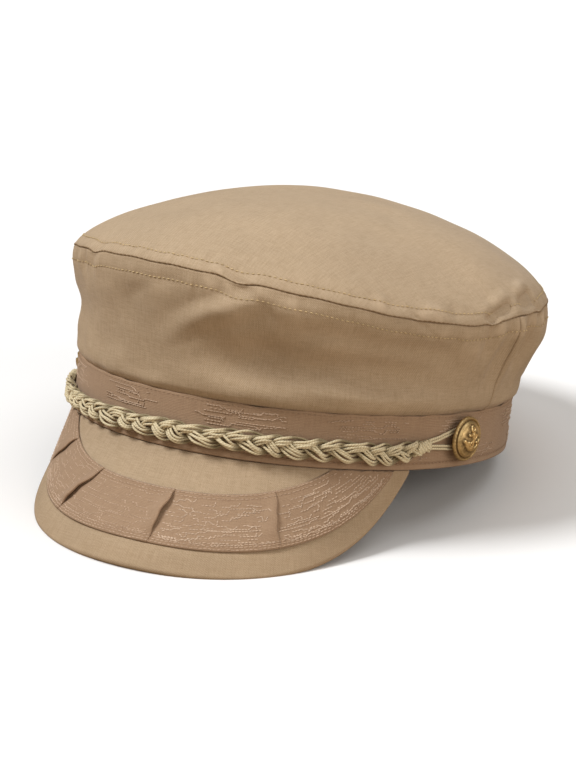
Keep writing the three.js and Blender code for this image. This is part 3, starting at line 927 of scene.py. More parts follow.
def stitch_tree():
    """Geometry nodes that lay dashes of thread along guide lines."""
    ready = bpy.data.node_groups.get("Running Stitch")
    if ready:
        return ready
    tree, given, end = new_group(
        "GeometryNodeTree", "Running Stitch",
        [("Guides", "Geometry", None), ("Spacing", "Float", 0.0023), ("Length", "Float", 0.0018),
         ("Width", "Float", 0.00042), ("Wobble", "Float", 0.1), ("Thread", "Material", None)],
        [("Stitches", "Geometry")],
    )
    tree.is_modifier = True
    curve = add(tree, "GeometryNodeMeshToCurve", {"Mesh": given["Guides"]})
    even = add(tree, "GeometryNodeResampleCurve", {
        "Curve": curve.outputs[0], "Length": given["Spacing"]}, mode="LENGTH")
    facing = add(tree, "GeometryNodeInputNamedAttribute", {"Name": "facing"}, data_type="FLOAT_VECTOR")
    tangent = source(tree, "GeometryNodeInputTangent", 0)
    turned = add(tree, "FunctionNodeAxesToRotation", {0: facing.outputs[0], 1: tangent},
                 primary_axis="Z", secondary_axis="X")
    wobble = add(tree, "FunctionNodeRandomValue", {
        2: times(given["Wobble"], -1.0), 3: given["Wobble"], "Seed": 7}, data_type="FLOAT")
    spin = add(tree, "ShaderNodeCombineXYZ", {2: wobble.outputs[1]})
    euler = add(tree, "FunctionNodeEulerToRotation", {0: spin.outputs[0]})
    swung = add(tree, "FunctionNodeRotateRotation", {
        0: turned.outputs[0], 1: euler.outputs[0]}, rotation_space="LOCAL")
    dash = add(tree, "GeometryNodeMeshUVSphere", {"Segments": 6, "Rings": 6, "Radius": 0.5})
    size = add(tree, "ShaderNodeCombineXYZ", {
        0: given["Length"], 1: given["Width"], 2: given["Width"]})
    uneven = add(tree, "FunctionNodeRandomValue", {2: 0.86, 3: 1.08, "Seed": 11}, data_type="FLOAT")
    scaled = add(tree, "ShaderNodeVectorMath", {
        0: size.outputs[0], 3: uneven.outputs[1]}, operation="SCALE")
    copies = add(tree, "GeometryNodeInstanceOnPoints", {
        "Points": even.outputs[0], "Instance": dash.outputs[0], "Rotation": swung.outputs[0],
        "Scale": scaled.outputs[0]})
    real = add(tree, "GeometryNodeRealizeInstances", {0: copies.outputs[0]})
    smoothed = add(tree, "GeometryNodeSetShadeSmooth", {0: real.outputs[0]})
    painted = add(tree, "GeometryNodeSetMaterial", {
        "Geometry": smoothed.outputs[0], "Material": given["Thread"]})
    feed(end, {"Stitches": painted.outputs[0]})
    return tree


def stitched(name, guides):
    """Dashes of thread along guide lines, each a pair of points and facing directions."""
    slot, thread_name, size_names, *shares, wobble = DASHES[name]
    finish = finish_of(thread_name)
    given = bpy.context.scene.cap_sizes
    sizes = [getattr(given, size) * share for size, share in zip(size_names, shares)]
    edges = []
    start = 0
    for path, _ in guides:
        edges += [(start + n, start + n + 1) for n in range(len(path) - 1)]
        start += len(path)
    mesh = bpy.data.meshes.new(name)
    mesh.from_pydata(at_rest(np.concatenate([path for path, _ in guides])).tolist(), edges, [])
    attribute = mesh.attributes.new("facing", "FLOAT_VECTOR", "POINT")
    turned = np.concatenate([facing for _, facing in guides]) @ TURN.T
    attribute.data.foreach_set("vector", turned.astype(np.float32).ravel())
    piece = linked(name, mesh)
    modifier = piece.modifiers.new("Stitches", "NODES")
    modifier.node_group = stitch_tree()
    values = dict(zip(("Spacing", "Length", "Width", "Wobble", "Thread"), (*sizes, wobble, finish)))
    for item in modifier.node_group.interface.items_tree:
        if item.item_type == "SOCKET" and item.in_out == "INPUT" and item.name in values:
            modifier[item.identifier] = values[item.name]
    piece.update_tag()
    bpy.context.view_layer.update()
    graph = bpy.context.evaluated_depsgraph_get()
    plain = bpy.data.meshes.new_from_object(piece.evaluated_get(graph))
    piece.modifiers.clear()
    piece.data = plain
    plain.name = name
    bpy.data.meshes.remove(mesh)
    if not plain.polygons:
        raise RuntimeError(f"{name}: no stitches were made")
    if not plain.materials:
        plain.materials.append(finish)
    return finished(piece, slot)


# Crown

TOP_GRID = (480, 74)
SIDE_ROWS = 60
SIDE_STEPS_PER_DEGREE = 1.72
BESIDE_SEAM = np.array([0, 0.1, 0.25, 0.45, 0.7, 0.95])
SIDE_TUCKED_IN = 0.1
THREAD_LIFT = 0.2
SEAM_THREAD_AT = 0.3
SEAM_THREAD_LIFT = 0.12
CREASE_REACH = 7
TUCK_SLOPE = 2.2
BULGE_ABOVE_TUCK = 4.5
STITCH_PUFF = 0.08
STITCH_DENT = 0.12
CLEAR_OF_SIDE_SEAM = 1.2
SIDE_SEAM_STITCH_AT = 4.5
SIDE_SEAM_STITCH_DENT = 0.175


def pinch_relief(angle, from_seam, side):
    """Creases that run out from each pinch of the seam."""
    relief = np.zeros_like(angle)
    for at, width, _, dent, slant in zip(*PINCHES.values()):
        turn = wrapped(angle - at - side * slant * from_seam) / width
        crease = bell(turn * 1.7) - 0.22 * bell((np.abs(turn) - 1.1) * 2)
        relief -= dent * crease * fading(from_seam, CREASE_REACH) * smooth(from_seam / 1.2)
    return relief


def tuck_relief(angle, from_seam):
    """Tucks where the top panel hangs over above its seam."""
    relief = np.zeros_like(angle)
    for at, width, reach, growth, depth in zip(*TUCKS.values()):
        turn = wrapped(angle - at)
        top = np.maximum(reach + growth * turn, 1)
        inward = smooth(from_seam / top) * smooth((top + TUCK_SLOPE - from_seam) / TUCK_SLOPE)
        bulge = 0.3 * hump((from_seam - top - BULGE_ABOVE_TUCK) / 4)
        relief += depth * smooth(1.6 - 1.6 * np.abs(turn) / width) * (bulge - inward)
    return relief


def sewn_relief(angle, from_seam, row, side):
    """Relief of the cloth beside the crown seam: the roll, the puff, the stitch line, puckers."""
    roll = measure("seam_roll")
    relief = rounded(from_seam, roll) - roll
    dent = STITCH_DENT * bell((from_seam - row) / 0.7)
    relief += STITCH_PUFF * hump((from_seam / row - 0.5) * 2) - dent
    around = band_point(angle, 0.0, 0.0)
    strength = 0.55 + 0.45 * ripple(around, 60, 5 + side)
    envelope = hump((from_seam - row) / (row * 1.15)) + 0.35 * fading(from_seam, 9)
    puckers = ripples(around, (0.7, 9, 11 + side), (0.4, 4.5, 17 + side))
    relief += measure("pucker") * strength * envelope * puckers
    return relief + pinch_relief(angle, from_seam, side)


def crown_marks(from_seam, row, relief):
    """Painted shade at the seam and beside the thread, and where the crown's cloth is worn."""
    return {
        "needled": 0.24 * bell((from_seam - row) / 0.6) + 1.7 * fading(from_seam, 0.22),
        "worn": smooth(relief * 1.6) * fading(from_seam, 10),
    }


def row_at(from_seam, points, normals, row, lift):
    """A line over a grid at a distance from the seam, with its facing directions."""
    found = []
    for far, line in zip(from_seam, np.concatenate([points, normals], axis=-1)):
        order = np.argsort(far)
        found.append([np.interp(row, far[order], part[order]) for part in line.T])
    line, facing = np.split(np.array(found), 2, axis=1)
    facing = unit(facing)
    return line + facing * lift, facing


def crown_top():
    """The crown top, a washed dome sewn down round its edge. Gives its two rows of thread."""
    angles = np.linspace(-180, 180, TOP_GRID[0], endpoint=False)
    shares = np.sin(np.linspace(0, 1, TOP_GRID[1]) * np.pi / 2)
    angle, share = np.meshgrid(angles, shares, indexing="ij")
    plain = dome_point(angle, share)
    from_middle = lengths_along(plain)
    from_seam = from_middle[:, -1:] - from_middle
    normal = normals_of(plain, True)
    normal[:, 0] = (0, 0, 1)
    normal *= np.sign(normal[..., 2].mean())
    row = measure("topstitch_above")
    relief = sewn_relief(angle, from_seam, row, 1) + tuck_relief(angle, from_seam)
    relief += smooth(from_seam / 26) * ripples(plain, (0.55, 80, 3), (0.16, 26, 4))
    relief[:, 0] = relief[:, 0].mean()
    outer = plain + normal * relief[..., None]
    inner = dome_point(angle, share, CROWN_WALL)
    for layer in (outer, inner):
        layer[:, 0] = layer[:, 0].mean(0)
    closing = np.radians(np.append(angles, 180))[:, None]
    run = looped(from_middle)
    uv = np.stack([run * np.sin(closing), -run * np.cos(closing)], -1)
    marks = crown_marks(from_seam, row, relief)
    piece = shell("crown_top_cloth", outer, inner, uv, True, "Khaki Twill", marks)
    finished(piece, "khaki_twill", "crown_top")
    places = ((row, THREAD_LIFT), (SEAM_THREAD_AT, SEAM_THREAD_LIFT))
    rows = [row_at(from_seam, outer, normal, at, lift) for at, lift in places]
    return [(looped(line), looped(facing)) for line, facing in rows]


def crown_side(node, start, end):
    """A panel of the crown side between two side seams. Gives its row of thread."""
    steps = int((end - start) * SIDE_STEPS_PER_DEGREE)
    middle = np.linspace(start + CLEAR_OF_SIDE_SEAM, end - CLEAR_OF_SIDE_SEAM, steps)
    angles = np.concatenate([start + BESIDE_SEAM, middle, end - BESIDE_SEAM[::-1]])
    angle, share = np.meshgrid(angles, crowded(SIDE_ROWS, 0.45), indexing="ij")
    bottom = BAND_HEIGHT - SIDE_TUCKED_IN
    rise = (seam_height(angle) - seam_drop(angle) - bottom) * share
    height = bottom + rise
    offset = side_offset(angle, share) - 0.9 * fading(rise, 0.8)
    plain = band_point(angle, offset, height)
    normal = normals_of(plain, False)
    normal *= np.sign((normal * outward(angle)).sum(-1).mean())
    run = lengths_along(plain)
    from_seam = run[:, -1:] - run
    row, roll = measure("topstitch_below"), measure("seam_roll")
    gap = np.minimum(angle - start, end - angle) * np.pi / 180 * BAND_LENGTH / 2
    relief = sewn_relief(angle, from_seam, row, -1)
    dent = SIDE_SEAM_STITCH_DENT * bell((gap - SIDE_SEAM_STITCH_AT) / 0.6)
    relief += rounded(gap, roll) - roll - dent
    slack = smooth(from_seam / 14) * smooth(rise / 8)
    relief += slack * ripples(plain, (0.42, 46, 21), (0.2, 17, 22))
    low_ripples = ripple(band_point(angle, 0.0, 0.0), 14, 29) * fading(rise, 5)
    relief += 0.22 * low_ripples * smooth(rise / 1.2)
    outer = plain + normal * relief[..., None]
    inner = band_point(angle, offset - CROWN_WALL, height)
    past_back = np.where(wrapped(angle) < start, 2 * ROUND_LENGTHS[-1], 0)
    uv = np.stack([arc_at(wrapped(angle)) + past_back, run], -1)
    marks = crown_marks(from_seam, row, relief)
    # Painted shade also along the side seams and where the side tucks down to the band.
    marks["needled"] += fading(gap, 0.45) + 0.6 * fading(rise, 0.5)
    piece = shell(node + "_cloth", outer, inner, uv, False, "Khaki Twill", marks)
    finished(piece, "khaki_twill", node)
    return row_at(from_seam, outer, normal, row, THREAD_LIFT)


class CAP_OT_crown(bpy.types.Operator):
    """Make the crown top, the two crown sides and their topstitching"""

    bl_idname = "cap.crown"
    bl_label = "Crown"

    def execute(self, context):
        upper, edge = crown_top()
        front = crown_side("crown_side_front", -SIDE_SEAM_ANGLE, SIDE_SEAM_ANGLE)
        back = crown_side("crown_side_back", SIDE_SEAM_ANGLE, 360 - SIDE_SEAM_ANGLE)
        stitched("crown_topstitching", [upper, front, back])
        stitched("crown_seam_stitching", [edge])
        return {"FINISHED"}


# Band

RING_GRID = (400, 34)
RIBBON_HEM = 2.6
HEADBAND_HEM = 4
UPPER_HEM = 1.1
HEM_DENT = 0.22
BAND_PATTERN_SEED = 41
RAGGED_END = 1.5
STEP_CHANCE = 0.62
FIRST_GROUP_AT = 6
LAST_GROUP_BEFORE = 40
GROUP_LENGTH = (30, 38)
GROUP_GAP = (13, 18)
BAND_LINE_SPACING = 1.1
BAND_LINE_STEP = (0.45, 0.95)

# The clusters of lines in each group of the band's pattern: how much later they start and end,
# their lowest and highest line, their shortest and longest run, and the share of gaps.
BAND_CLUSTERS = (
    (0, 0, 12.6, 19.4, (1.8, 6), 0.3),
    (20, 14, 3.6, 7.6, (1.8, 5), 0.4),
)


def ring_wall(node, slot, finish, outer_offset, wall, waves, hem):
    """A cloth band round the head, with a hem line above its lower edge."""
    angles = np.linspace(-180, 180, RING_GRID[0], endpoint=False)
    shares = crowded(RING_GRID[1], 0.5)
    angle, share = np.meshgrid(angles, shares, indexing="ij")
    around = band_point(angle, 0.0, 0.0)
    height = share * BAND_HEIGHT + 0.2 * waves * ripple(around, 12, 31) * smooth(share * 4 - 3)
    edge = np.minimum(share, 1 - share) * BAND_HEIGHT
    half = rounded(edge, wall / 2)
    wave = waves * 0.2 * ripple(band_point(angle, 0.0, height), 30, 33) * hump(share * 2 - 1)
    centre = outer_offset - wall / 2 + wave
    outer = band_point(angle, centre + half - HEM_DENT * bell((height - hem) / 0.35), height)
    inner = band_point(angle, centre - half, height)
    closing = np.append(arc_at(angles), ROUND_LENGTHS[-1])
    uv = np.stack(np.meshgrid(closing, shares * BAND_HEIGHT, indexing="ij"), -1)
    # Painted shade along the hem line's dent; the edges are worn lighter.
    marks = {"needled": bell((height - hem) / 0.4), "worn": fading(edge, 0.5) * 0.5}
    piece = shell(node + "_cloth", outer, inner, uv, True, finish, marks)
    finished(piece, slot, node)


def wandering(draw, start, end, low, high, spacing, run, step, skip):
    """Broken lines that wander in small steps between two heights, as a woven pattern does."""
    lines = []
    for level in np.arange(low, high, spacing):
        at = start + draw.uniform(0, run[1] * RAGGED_END)
        stop = end - draw.uniform(0, run[1] * RAGGED_END)
        height = level + draw.uniform(-0.3, 0.3)
        line = [(at, height)]
        while at < stop:
            at = min(at + draw.uniform(*run), stop)
            line.append((at, height))
            if at == stop:
                break
            if draw.uniform() < STEP_CHANCE:
                height = np.clip(height + draw.choice([-1, 1]) * draw.uniform(*step), low, high)
                line.append((at + draw.uniform(-0.2, 0.35), height))
            if draw.uniform() < skip:
                lines.append(line)
                at += draw.uniform(*run) * 1.4
                height = level + draw.uniform(-0.5, 0.5)
                line = [(at, height)]
        lines.append(line)
    return [densified(np.array(line)) for line in lines if len(line) > 1]


def densified(line, longest=1.2):
    """A line with points close enough together to follow a curved surface."""
    made = [line[:1]]
    for a, b in zip(line[:-1], line[1:]):
        steps = max(int(np.ceil(np.linalg.norm(b - a) / longest)), 1)
        made.append(a + (b - a) * (np.arange(1, steps + 1) / steps)[:, None])
    return np.concatenate(made)


class CAP_OT_band(bpy.types.Operator):
    """Make the ribbon round the band, its raised pattern, and the headband inside it"""

    bl_idname = "cap.band"
    bl_label = "Band"

    def execute(self, context):
        ring_wall("band_ribbon", "jacquard_ribbon", "Woven Ribbon", 0.0, RIBBON_WALL, 1.0, RIBBON_HEM)
        ring_wall("headband", "headband_cotton", "Headband Cotton", -RIBBON_WALL - SEAT_GAP,
                  HEADBAND_WALL, 0.4, HEADBAND_HEM)
        draw = np.random.RandomState(BAND_PATTERN_SEED)
        lines = []
        at = ROUND_LENGTHS[0] + FIRST_GROUP_AT
        while at < ROUND_LENGTHS[-1] - LAST_GROUP_BEFORE:
            group = draw.uniform(*GROUP_LENGTH)
            end = at + group
            for later, longer, low, high, run, skip in BAND_CLUSTERS:
                lines += wandering(draw, at + later, end + longer, low, high, BAND_LINE_SPACING, run,
                                   BAND_LINE_STEP, skip)
            at += group + draw.uniform(*GROUP_GAP)
        guides = []
        for arc, height in (line.T for line in lines):
            angle = angle_at(arc)
            guides.append((band_point(angle, 0.1, height), outward(angle)))
        stitched("band_ribbon_pattern", guides)
        angle = np.linspace(-180, 180, 500)
        stitched("band_stitching", [
            (band_point(angle, 0.02, np.full(500, height)), outward(angle))
            for height in (RIBBON_HEM, BAND_HEIGHT - UPPER_HEM)])
        return {"FINISHED"}


# Peak

PEAK_GRID = (280, 44)
PEAK_CLOTH_STRETCH = 1.25


class CAP_OT_peak(bpy.types.Operator):
    """Make the cloth-covered peak with its rounded edge"""

    bl_idname = "cap.peak"
    bl_label = "Peak"

    def execute(self, context):
        half = PEAK_WALL / 2
        share = np.sin(np.linspace(-1, 1, PEAK_GRID[0]) * np.pi / 2)[:, None]
        way = 1 - (1 - np.linspace(0, 1, PEAK_GRID[1])) ** 1.5
        reach = peak_reach(share)
        start, under = peak_start(share, 0.0), peak_start(share, -PEAK_WALL)
        top_reach = start + (reach - start) * way
        low_reach = under + (reach - under) * way
        share = np.repeat(share, len(way), 1)
        from_edge = reach - top_reach
        lift = rounded(from_edge, half) - half
        swell = ripple(peak_point(share, top_reach, lift), 40, 51) * smooth(from_edge / 6)
        above = peak_point(share, top_reach, lift + 0.12 * swell)
        below = peak_point(share, low_reach, -half - rounded(reach - low_reach, half))
        uv = np.stack([arc_at(share * PEAK_HALF_ANGLE) * PEAK_CLOTH_STRETCH, top_reach], -1)
        # Painted shade over the peak's outer margin, darker towards its edge; right at the edge it is
        # worn lighter.
        marks = {
            "needled": smooth(1.1 - from_edge / 16) * 0.48,
            "worn": fading(from_edge, 1.4) * 0.5,
        }
        piece = shell("peak_cloth", above, below, uv, False, "Khaki Twill", marks)
        finished(piece, "khaki_twill", "peak")
        return {"FINISHED"}


# Peak ribbon

ACROSS_STEPS = 48
RIBBON_STEP = 1.1
PLEAT_CLIMB = 8
FOLD_STEP = 0.6
SEWN_ROWS = (0.035, 0.08, 0.13, 0.9, 0.965)
CLEAR_OF_BAND = 1.2
FIRST_BRIGHT_STRETCH = 3
FAINT_SPREAD = 1.7
PEAK_PATTERN_SEED = 57

# The clusters of lines between two pleats: how far in they start and end, their lowest and
# highest line, their spacing, shortest and longest run and step, and the share of gaps.
RIBBON_CLUSTERS = (
    (1.0, 2.6, 8.4, 1.1, (1.2, 3.6), (0.5, 1.0), 0.3),
    (1.5, 9.2, 20.4, 1.6, (1.4, 4.2), (0.6, 1.3), 0.42),
)

# A pleat across its fold: millimetres along the ribbon from the fold's edge, and the height as a
# share of the rise. It turns under, runs back and turns again.
FOLD_PATH = table("along height", [
    (0.24, 0.96), (0.34, 0.86), (0.26, 0.75), (0, 0.7), (-1.2, 0.6), (-2.6, 0.46), (-3.4, 0.38),
    (-3.66, 0.24), (-3.4, 0.05), (-2.6, 0), (-1.2, 0), (0, 0),
])


def peak_ribbon_end():
    """Share of the half angle at which the ribbon is down to its end width."""
    reach = PEAK_MARGIN + PEAK_RIBBON_END_WIDTH
    curve = (reach - PEAK_END_LENGTH) / (PEAK_LENGTH - PEAK_END_LENGTH)
    return (1 - curve ** PEAK_CORNER) ** (1 / PEAK_SHOULDER)


def ribbon_stretches():
    """Stretches of the peak ribbon between its pleats: outer and inner shares at both ends, and
    how high the far end stands and where."""
    end = peak_ribbon_end()
    outer = [-end, *PLEATS["outer"], end]
    inner = [-end, *PLEATS["inner"], end]
    rise = [*PLEATS["rise"] * PLEAT_RISE, 0]
    top = [*PLEATS["top"], 0.5]
    return list(zip(outer, inner, outer[1:], inner[1:], rise, top))


def share_per_millimetre(share):
    """Change of share for a millimetre along the peak ribbon."""
    reach = PEAK_LENGTH - PEAK_MARGIN - PEAK_RIBBON_WIDTH / 2
    a, b = (peak_point(share + step, reach, 0.0) for step in (-0.01, 0.01))
    return 0.02 / np.linalg.norm(b - a)


def fold_wave(share, across):
    """Share by which the ribbon's folds wander from straight lines."""
    wander = np.sin(across * 7 + share * 31) + 0.5 * np.sin(across * 17 + share * 13)
    return PLEAT_WAVE * share_per_millimetre(share) * wander * np.sin(np.pi * across)


def held_down(across, top):
    """How far a pleat stands up between the rows that sew its edges down."""
    edges = smooth(across / 0.26 - 0.15) * smooth((1 - across) / 0.14 + 0.1)
    return 0.12 + edges * (0.3 + 0.6 * hump((across - top) / 0.56))


def length_of(stretch):
    """Millimetres along the middle of a stretch."""
    return (stretch[2] - stretch[0]) / share_per_millimetre((stretch[0] + stretch[2]) / 2)


def place_on(stretch, way, across):
    """Outer and inner share of a place on a stretch, and its lift where it climbs to the pleat."""
    o0, i0, o1, i1, rise, top = stretch
    wave = fold_wave(o0, across) * (1 - way) + fold_wave(o1, across) * way
    climb = rise * smooth((way - 1) * length_of(stretch) / PLEAT_CLIMB + 1) ** 1.4
    return o0 + (o1 - o0) * way + wave, i0 + (i1 - i0) * way + wave, climb * held_down(across, top)


def ribbon_point(outer, inner, across, lift):
    """A point of the peak ribbon between its edges, and how far it is clear of the band."""
    share = outer + (inner - outer) * across
    distance = peak_reach(share) - PEAK_MARGIN - PEAK_RIBBON_WIDTH * across
    start = peak_start(share, lift)
    return peak_point(share, np.maximum(distance, start), lift), distance - start


def ribbon_thread(stretches, surface):
    """Guide lines of the rows of stitches, of the raised pattern and of its faint part."""
    draw = np.random.RandomState(PEAK_PATTERN_SEED)
    sewn, bright, faint = [], [], []
    for number, stretch in enumerate(stretches):
        is_bright = number >= FIRST_BRIGHT_STRETCH
        spread, pattern = (1, bright) if is_bright else (FAINT_SPREAD, faint)
        span = length_of(stretch)
        count = int(span)
        rows = [
            np.stack([np.linspace(0.3, span - 0.2, count), at + draw.uniform(-0.008, 0.008, count)], 1)
            for at in SEWN_ROWS]
        lines = []
        for inset, low, high, spacing, run, step, skip in RIBBON_CLUSTERS:
            lines += wandering(draw, inset, span - inset, low, high, spacing * spread, run, step, skip)
        lines = [line / (1, PEAK_RIBBON_WIDTH) for line in lines]
        for kept, group in ((sewn, rows), (pattern, lines)):
            for along_ribbon, across in (line.T for line in group):
                outer, inner, lift = place_on(stretch, along_ribbon / span, across)
                lift = lift + surface
                point, clear = ribbon_point(outer, inner, across, lift)
                above, _ = ribbon_point(outer, inner, across, lift + 1)
                shown = clear > CLEAR_OF_BAND
                if shown.sum() > 2:
                    kept.append((point[shown], unit(above - point)[shown]))
    return sewn, bright, faint


class CAP_OT_peak_ribbon(bpy.types.Operator):
    """Make the pleated ribbon on the peak, its pattern and the rows that sew it down"""

    bl_idname = "cap.peak_ribbon"
    bl_label = "Peak Ribbon"

    def execute(self, context):
        thin = measure("ribbon_sheet") / 2
        ground = SEAT_GAP + thin
        across = np.linspace(0, 1, ACROSS_STEPS)
        rows, runs = [], []
        run = 0.0
        stretches = ribbon_stretches()
        for stretch in stretches:
            span = length_of(stretch)
            for way in np.linspace(0, 1, max(int(span / RIBBON_STEP), 4)):
                rows.append(place_on(stretch, way, across))
                runs.append(run + span * way)
            run += span
            if stretch is stretches[-1]:
                break
            _, _, outer, inner, rise, top = stretch
            wave, held = fold_wave(outer, across), held_down(across, top)
            for step, height in zip(*FOLD_PATH.values()):
                shift = step * share_per_millimetre(outer) + wave
                rows.append((outer + shift, inner + shift, rise * held * height))
                runs.append(run)
                run += FOLD_STEP
        outers, inners, lifts = np.array(rows).transpose(1, 0, 2)
        middle, _ = ribbon_point(outers, inners, across[None], lifts + ground)
        normal = normals_of(middle, False)
        facing = peak_point(0.0, 20.0, 1.0) - peak_point(0.0, 20.0, 0.0)
        normal *= np.sign((normal[:6] * facing).sum())
        across_mm = np.repeat(across[None] * PEAK_RIBBON_WIDTH, len(rows), 0)
        edge = np.minimum(across_mm, PEAK_RIBBON_WIDTH - across_mm)
        half = rounded(edge, thin)[..., None]
        uv = np.stack([np.repeat(np.array(runs)[:, None], len(across), 1), across_mm], -1)
        # Painted shade along the rows that sew the ribbon down.
        needled = sum(bell((across_mm - at * PEAK_RIBBON_WIDTH) / 0.4) for at in SEWN_ROWS)
        marks = {"needled": needled * 0.6, "worn": fading(edge, 0.4) * 0.6}
        piece = shell("peak_ribbon_cloth", middle + normal * half, middle - normal * half, uv, False,
                      "Woven Ribbon", marks)
        finished(piece, "jacquard_ribbon", "peak_ribbon")
        sewn, bright, faint = ribbon_thread(stretches, ground + thin)
        stitched("peak_ribbon_stitching", sewn)
        stitched("peak_ribbon_pattern", bright)
        stitched("peak_ribbon_faint_pattern", faint)
        return {"FINISHED"}


# Braid and cord loops

PLAIT_ACROSS = 2.4
PLAIT_DEPTH = 1.2
PLAIT_LEAN = 0.34
PLAIT_END = 15
BRAID_STEP = 0.6
BRAID_CLEARANCE = 0.35
CORD_LIFTS = (-0.15, 0.32, 0.32, -0.15)
BRAID_SEED = 61
NECK_TURNS = 4.5
NECK_START = 6.8
NECK_PITCH = 1.15
NECK_HALF_HEIGHT = 2.5
NECK_HALF_DEPTH = 1.75
NECK_OUT = 2.0
NECK_LEAN = 0.55
HIDDEN_IN_NECK = 1.5
SIDES = ((1, "left"), (-1, "right"))

# The two cords of a loop: the radius round the shank, and the start beside the braid's middle
LOOP_CORDS = ((3.0, 0.55), (4.2, 1.7))


def braid_line(arc):
    """Height of the braid's middle at a distance round the band."""
    return BRAID_HEIGHT * along(BRAID_RUN, "angle", "height", angle_at(arc) / BRAID_END_ANGLE)


class CAP_OT_braid(bpy.types.Operator):
    """Make the plait of three strands, each of four thin cords"""

    bl_idname = "cap.braid"
    bl_label = "Braid"

    def execute(self, context):
        diameter = measure("cord_diameter")
        end = arc_at(BRAID_END_ANGLE)
        arc = np.arange(-end, end + BRAID_STEP / 2, BRAID_STEP)
        near_end = smooth((end - np.abs(arc)) / PLAIT_END)
        speed = 2 * np.pi / (3 * BRAID_PITCH) * (1 + 0.9 * (1 - near_end))
        phase = np.concatenate([[0], np.cumsum((speed[1:] + speed[:-1]) / 2 * np.diff(arc))])
        phase += 0.3 * np.sin(arc * 0.13 + 1) + 0.16 * np.sin(arc * 0.31)
        loose = 0.92 + 0.16 * smooth(arc / end + 0.5) + 0.06 * np.sin(arc * 0.19 + 2)
        reach = PLAIT_ACROSS * (0.5 + 0.5 * near_end) * loose
        draw = np.random.RandomState(BRAID_SEED)

        def sway(size, slowest, fastest):
            """A slow swing of a cord, with a random pace and start."""
            return size * np.sin(arc * draw.uniform(slowest, fastest) + draw.uniform(0, 6.3))

        paths, under_shades = [], []
        for strand in range(3):
            turn = phase + strand * 2 * np.pi / 3
            middle = reach * np.sin(turn + PLAIT_LEAN * np.cos(turn))
            depth = PLAIT_DEPTH * np.sin(2 * turn)
            slope = np.arctan(np.gradient(middle, arc))
            for place, raised in zip(np.linspace(-0.5, 0.5, len(CORD_LIFTS)), CORD_LIFTS):
                slide = place * measure("strand_width") * (0.62 + 0.38 * near_end)
                slide += sway(0.36, 0.12, 0.3) + sway(0.26, 0.4, 0.8)
                lift = raised + sway(0.26, 0.3, 0.7)
                up = braid_line(arc) + middle + slide * np.cos(slope)
                out = SEAT_GAP + diameter / 2 + PLAIT_DEPTH + BRAID_CLEARANCE + depth + lift
                angle = angle_at(arc - slide * np.sin(slope))
                paths.append((band_point(angle, out, up), outward(angle)))
                # Painted shade: darker where the strand lies deeper, under the others.
                under_shades.append(smooth(0.5 - depth / PLAIT_DEPTH * 0.8))
        finished(tubes("braid_cords", paths, diameter, 8, under_shades), "braid_cord", "braid")
        return {"FINISHED"}


def neck_path(side, end):
    """Turns of cord bound slantwise round the end of the braid."""
    turn = np.linspace(0, 2 * np.pi * NECK_TURNS, 150)
    run = end - NECK_START + turn / (2 * np.pi) * NECK_PITCH
    height = NECK_HALF_HEIGHT * np.sin(turn)
    out = NECK_OUT + NECK_HALF_DEPTH * np.cos(turn)
    angle = side * angle_at(run + height * NECK_LEAN)
    centre = braid_line(side * np.minimum(run, end))
    return band_point(angle, out + SEAT_GAP, centre + height), outward(angle)


class CAP_OT_cord_loops(bpy.types.Operator):
    """Make the two cords on each side that run from the braid round a button's shank"""

    bl_idname = "cap.cord_loops"
    bl_label = "Cord Loops"

    def execute(self, context):
        diameter = measure("cord_diameter")
        end = arc_at(BRAID_END_ANGLE)
        away = arc_at(BUTTON_ANGLE) - end
        way = np.linspace(0, 1, 26)
        bend = np.radians(np.linspace(90, -90, 27)[1:-1])
        for side, word in SIDES:
            paths = [neck_path(side, end)]
            drop = BUTTON_HEIGHT - braid_line(side * end)
            for radius, spread in LOOP_CORDS:
                back = (away + HIDDEN_IN_NECK) * (1 - way)
                up = spread + (radius - spread) * smooth(way)
                back = np.concatenate([back, -radius * np.cos(bend), back[::-1]])
                up = np.concatenate([up, radius * np.sin(bend), -up[::-1]])
                leave = np.concatenate([1 - way, bend * 0, 1 - way[::-1]])
                height = BUTTON_HEIGHT - drop * leave + up
                lift = SEAT_GAP + diameter / 2 + 0.75 * smooth(leave) + 0.1 * np.sin(back)
                angle = side * angle_at(end + away - back)
                paths.append((band_point(angle, lift, height), outward(angle)))
            under_shades = [np.zeros(len(path)) for path, _ in paths]
            piece = tubes(f"cord_loop_{word}_cords", paths, diameter, 10, under_shades)
            finished(piece, "braid_cord", "cord_loop_" + word)
        return {"FINISHED"}


# Buttons

BUTTON_TURNS = 144
FACE_RINGS = 46
RIM_RINGS = 16
FACE_ROPE_TURNS = 40
RIM_ROPE_TURNS = 36


def capsule(x, y, x0, y0, x1, y1, width):
    """Distance inside a straight bar with round ends, positive inside it."""
    ax, ay = x1 - x0, y1 - y0
    t = np.clip(((x - x0) * ax + (y - y0) * ay) / (ax * ax + ay * ay), 0, 1)
    return width - np.hypot(x - x0 - t * ax, y - y0 - t * ay)


def anchor_inside(x, y):
    """Distance inside an anchor with a rope round it, in shares of the button's face."""
    shank = capsule(x, y, 0, -0.5, 0, 0.4, 0.08)
    stock = capsule(x, y, -0.32, 0.27, 0.32, 0.27, 0.07)
    ring = 0.06 - np.abs(np.hypot(x, y - 0.58) - 0.13)
    low = np.arctan2(-y, np.abs(x)) > np.radians(22)
    arms = np.where(low, 0.09 - np.abs(np.hypot(x, y) - 0.5), -1)
    fluke_out = capsule(np.abs(x), y, 0.47, -0.19, 0.6, -0.04, 0.09)
    fluke_in = capsule(np.abs(x), y, 0.47, -0.19, 0.32, -0.12, 0.08)
    rope = np.where(np.abs(y) < 0.4, 0.06 - np.abs(x - 0.24 * np.sin(y * 7.5)), -1)
    return np.maximum.reduce([shank, stock, ring, arms, fluke_out, fluke_in, rope])


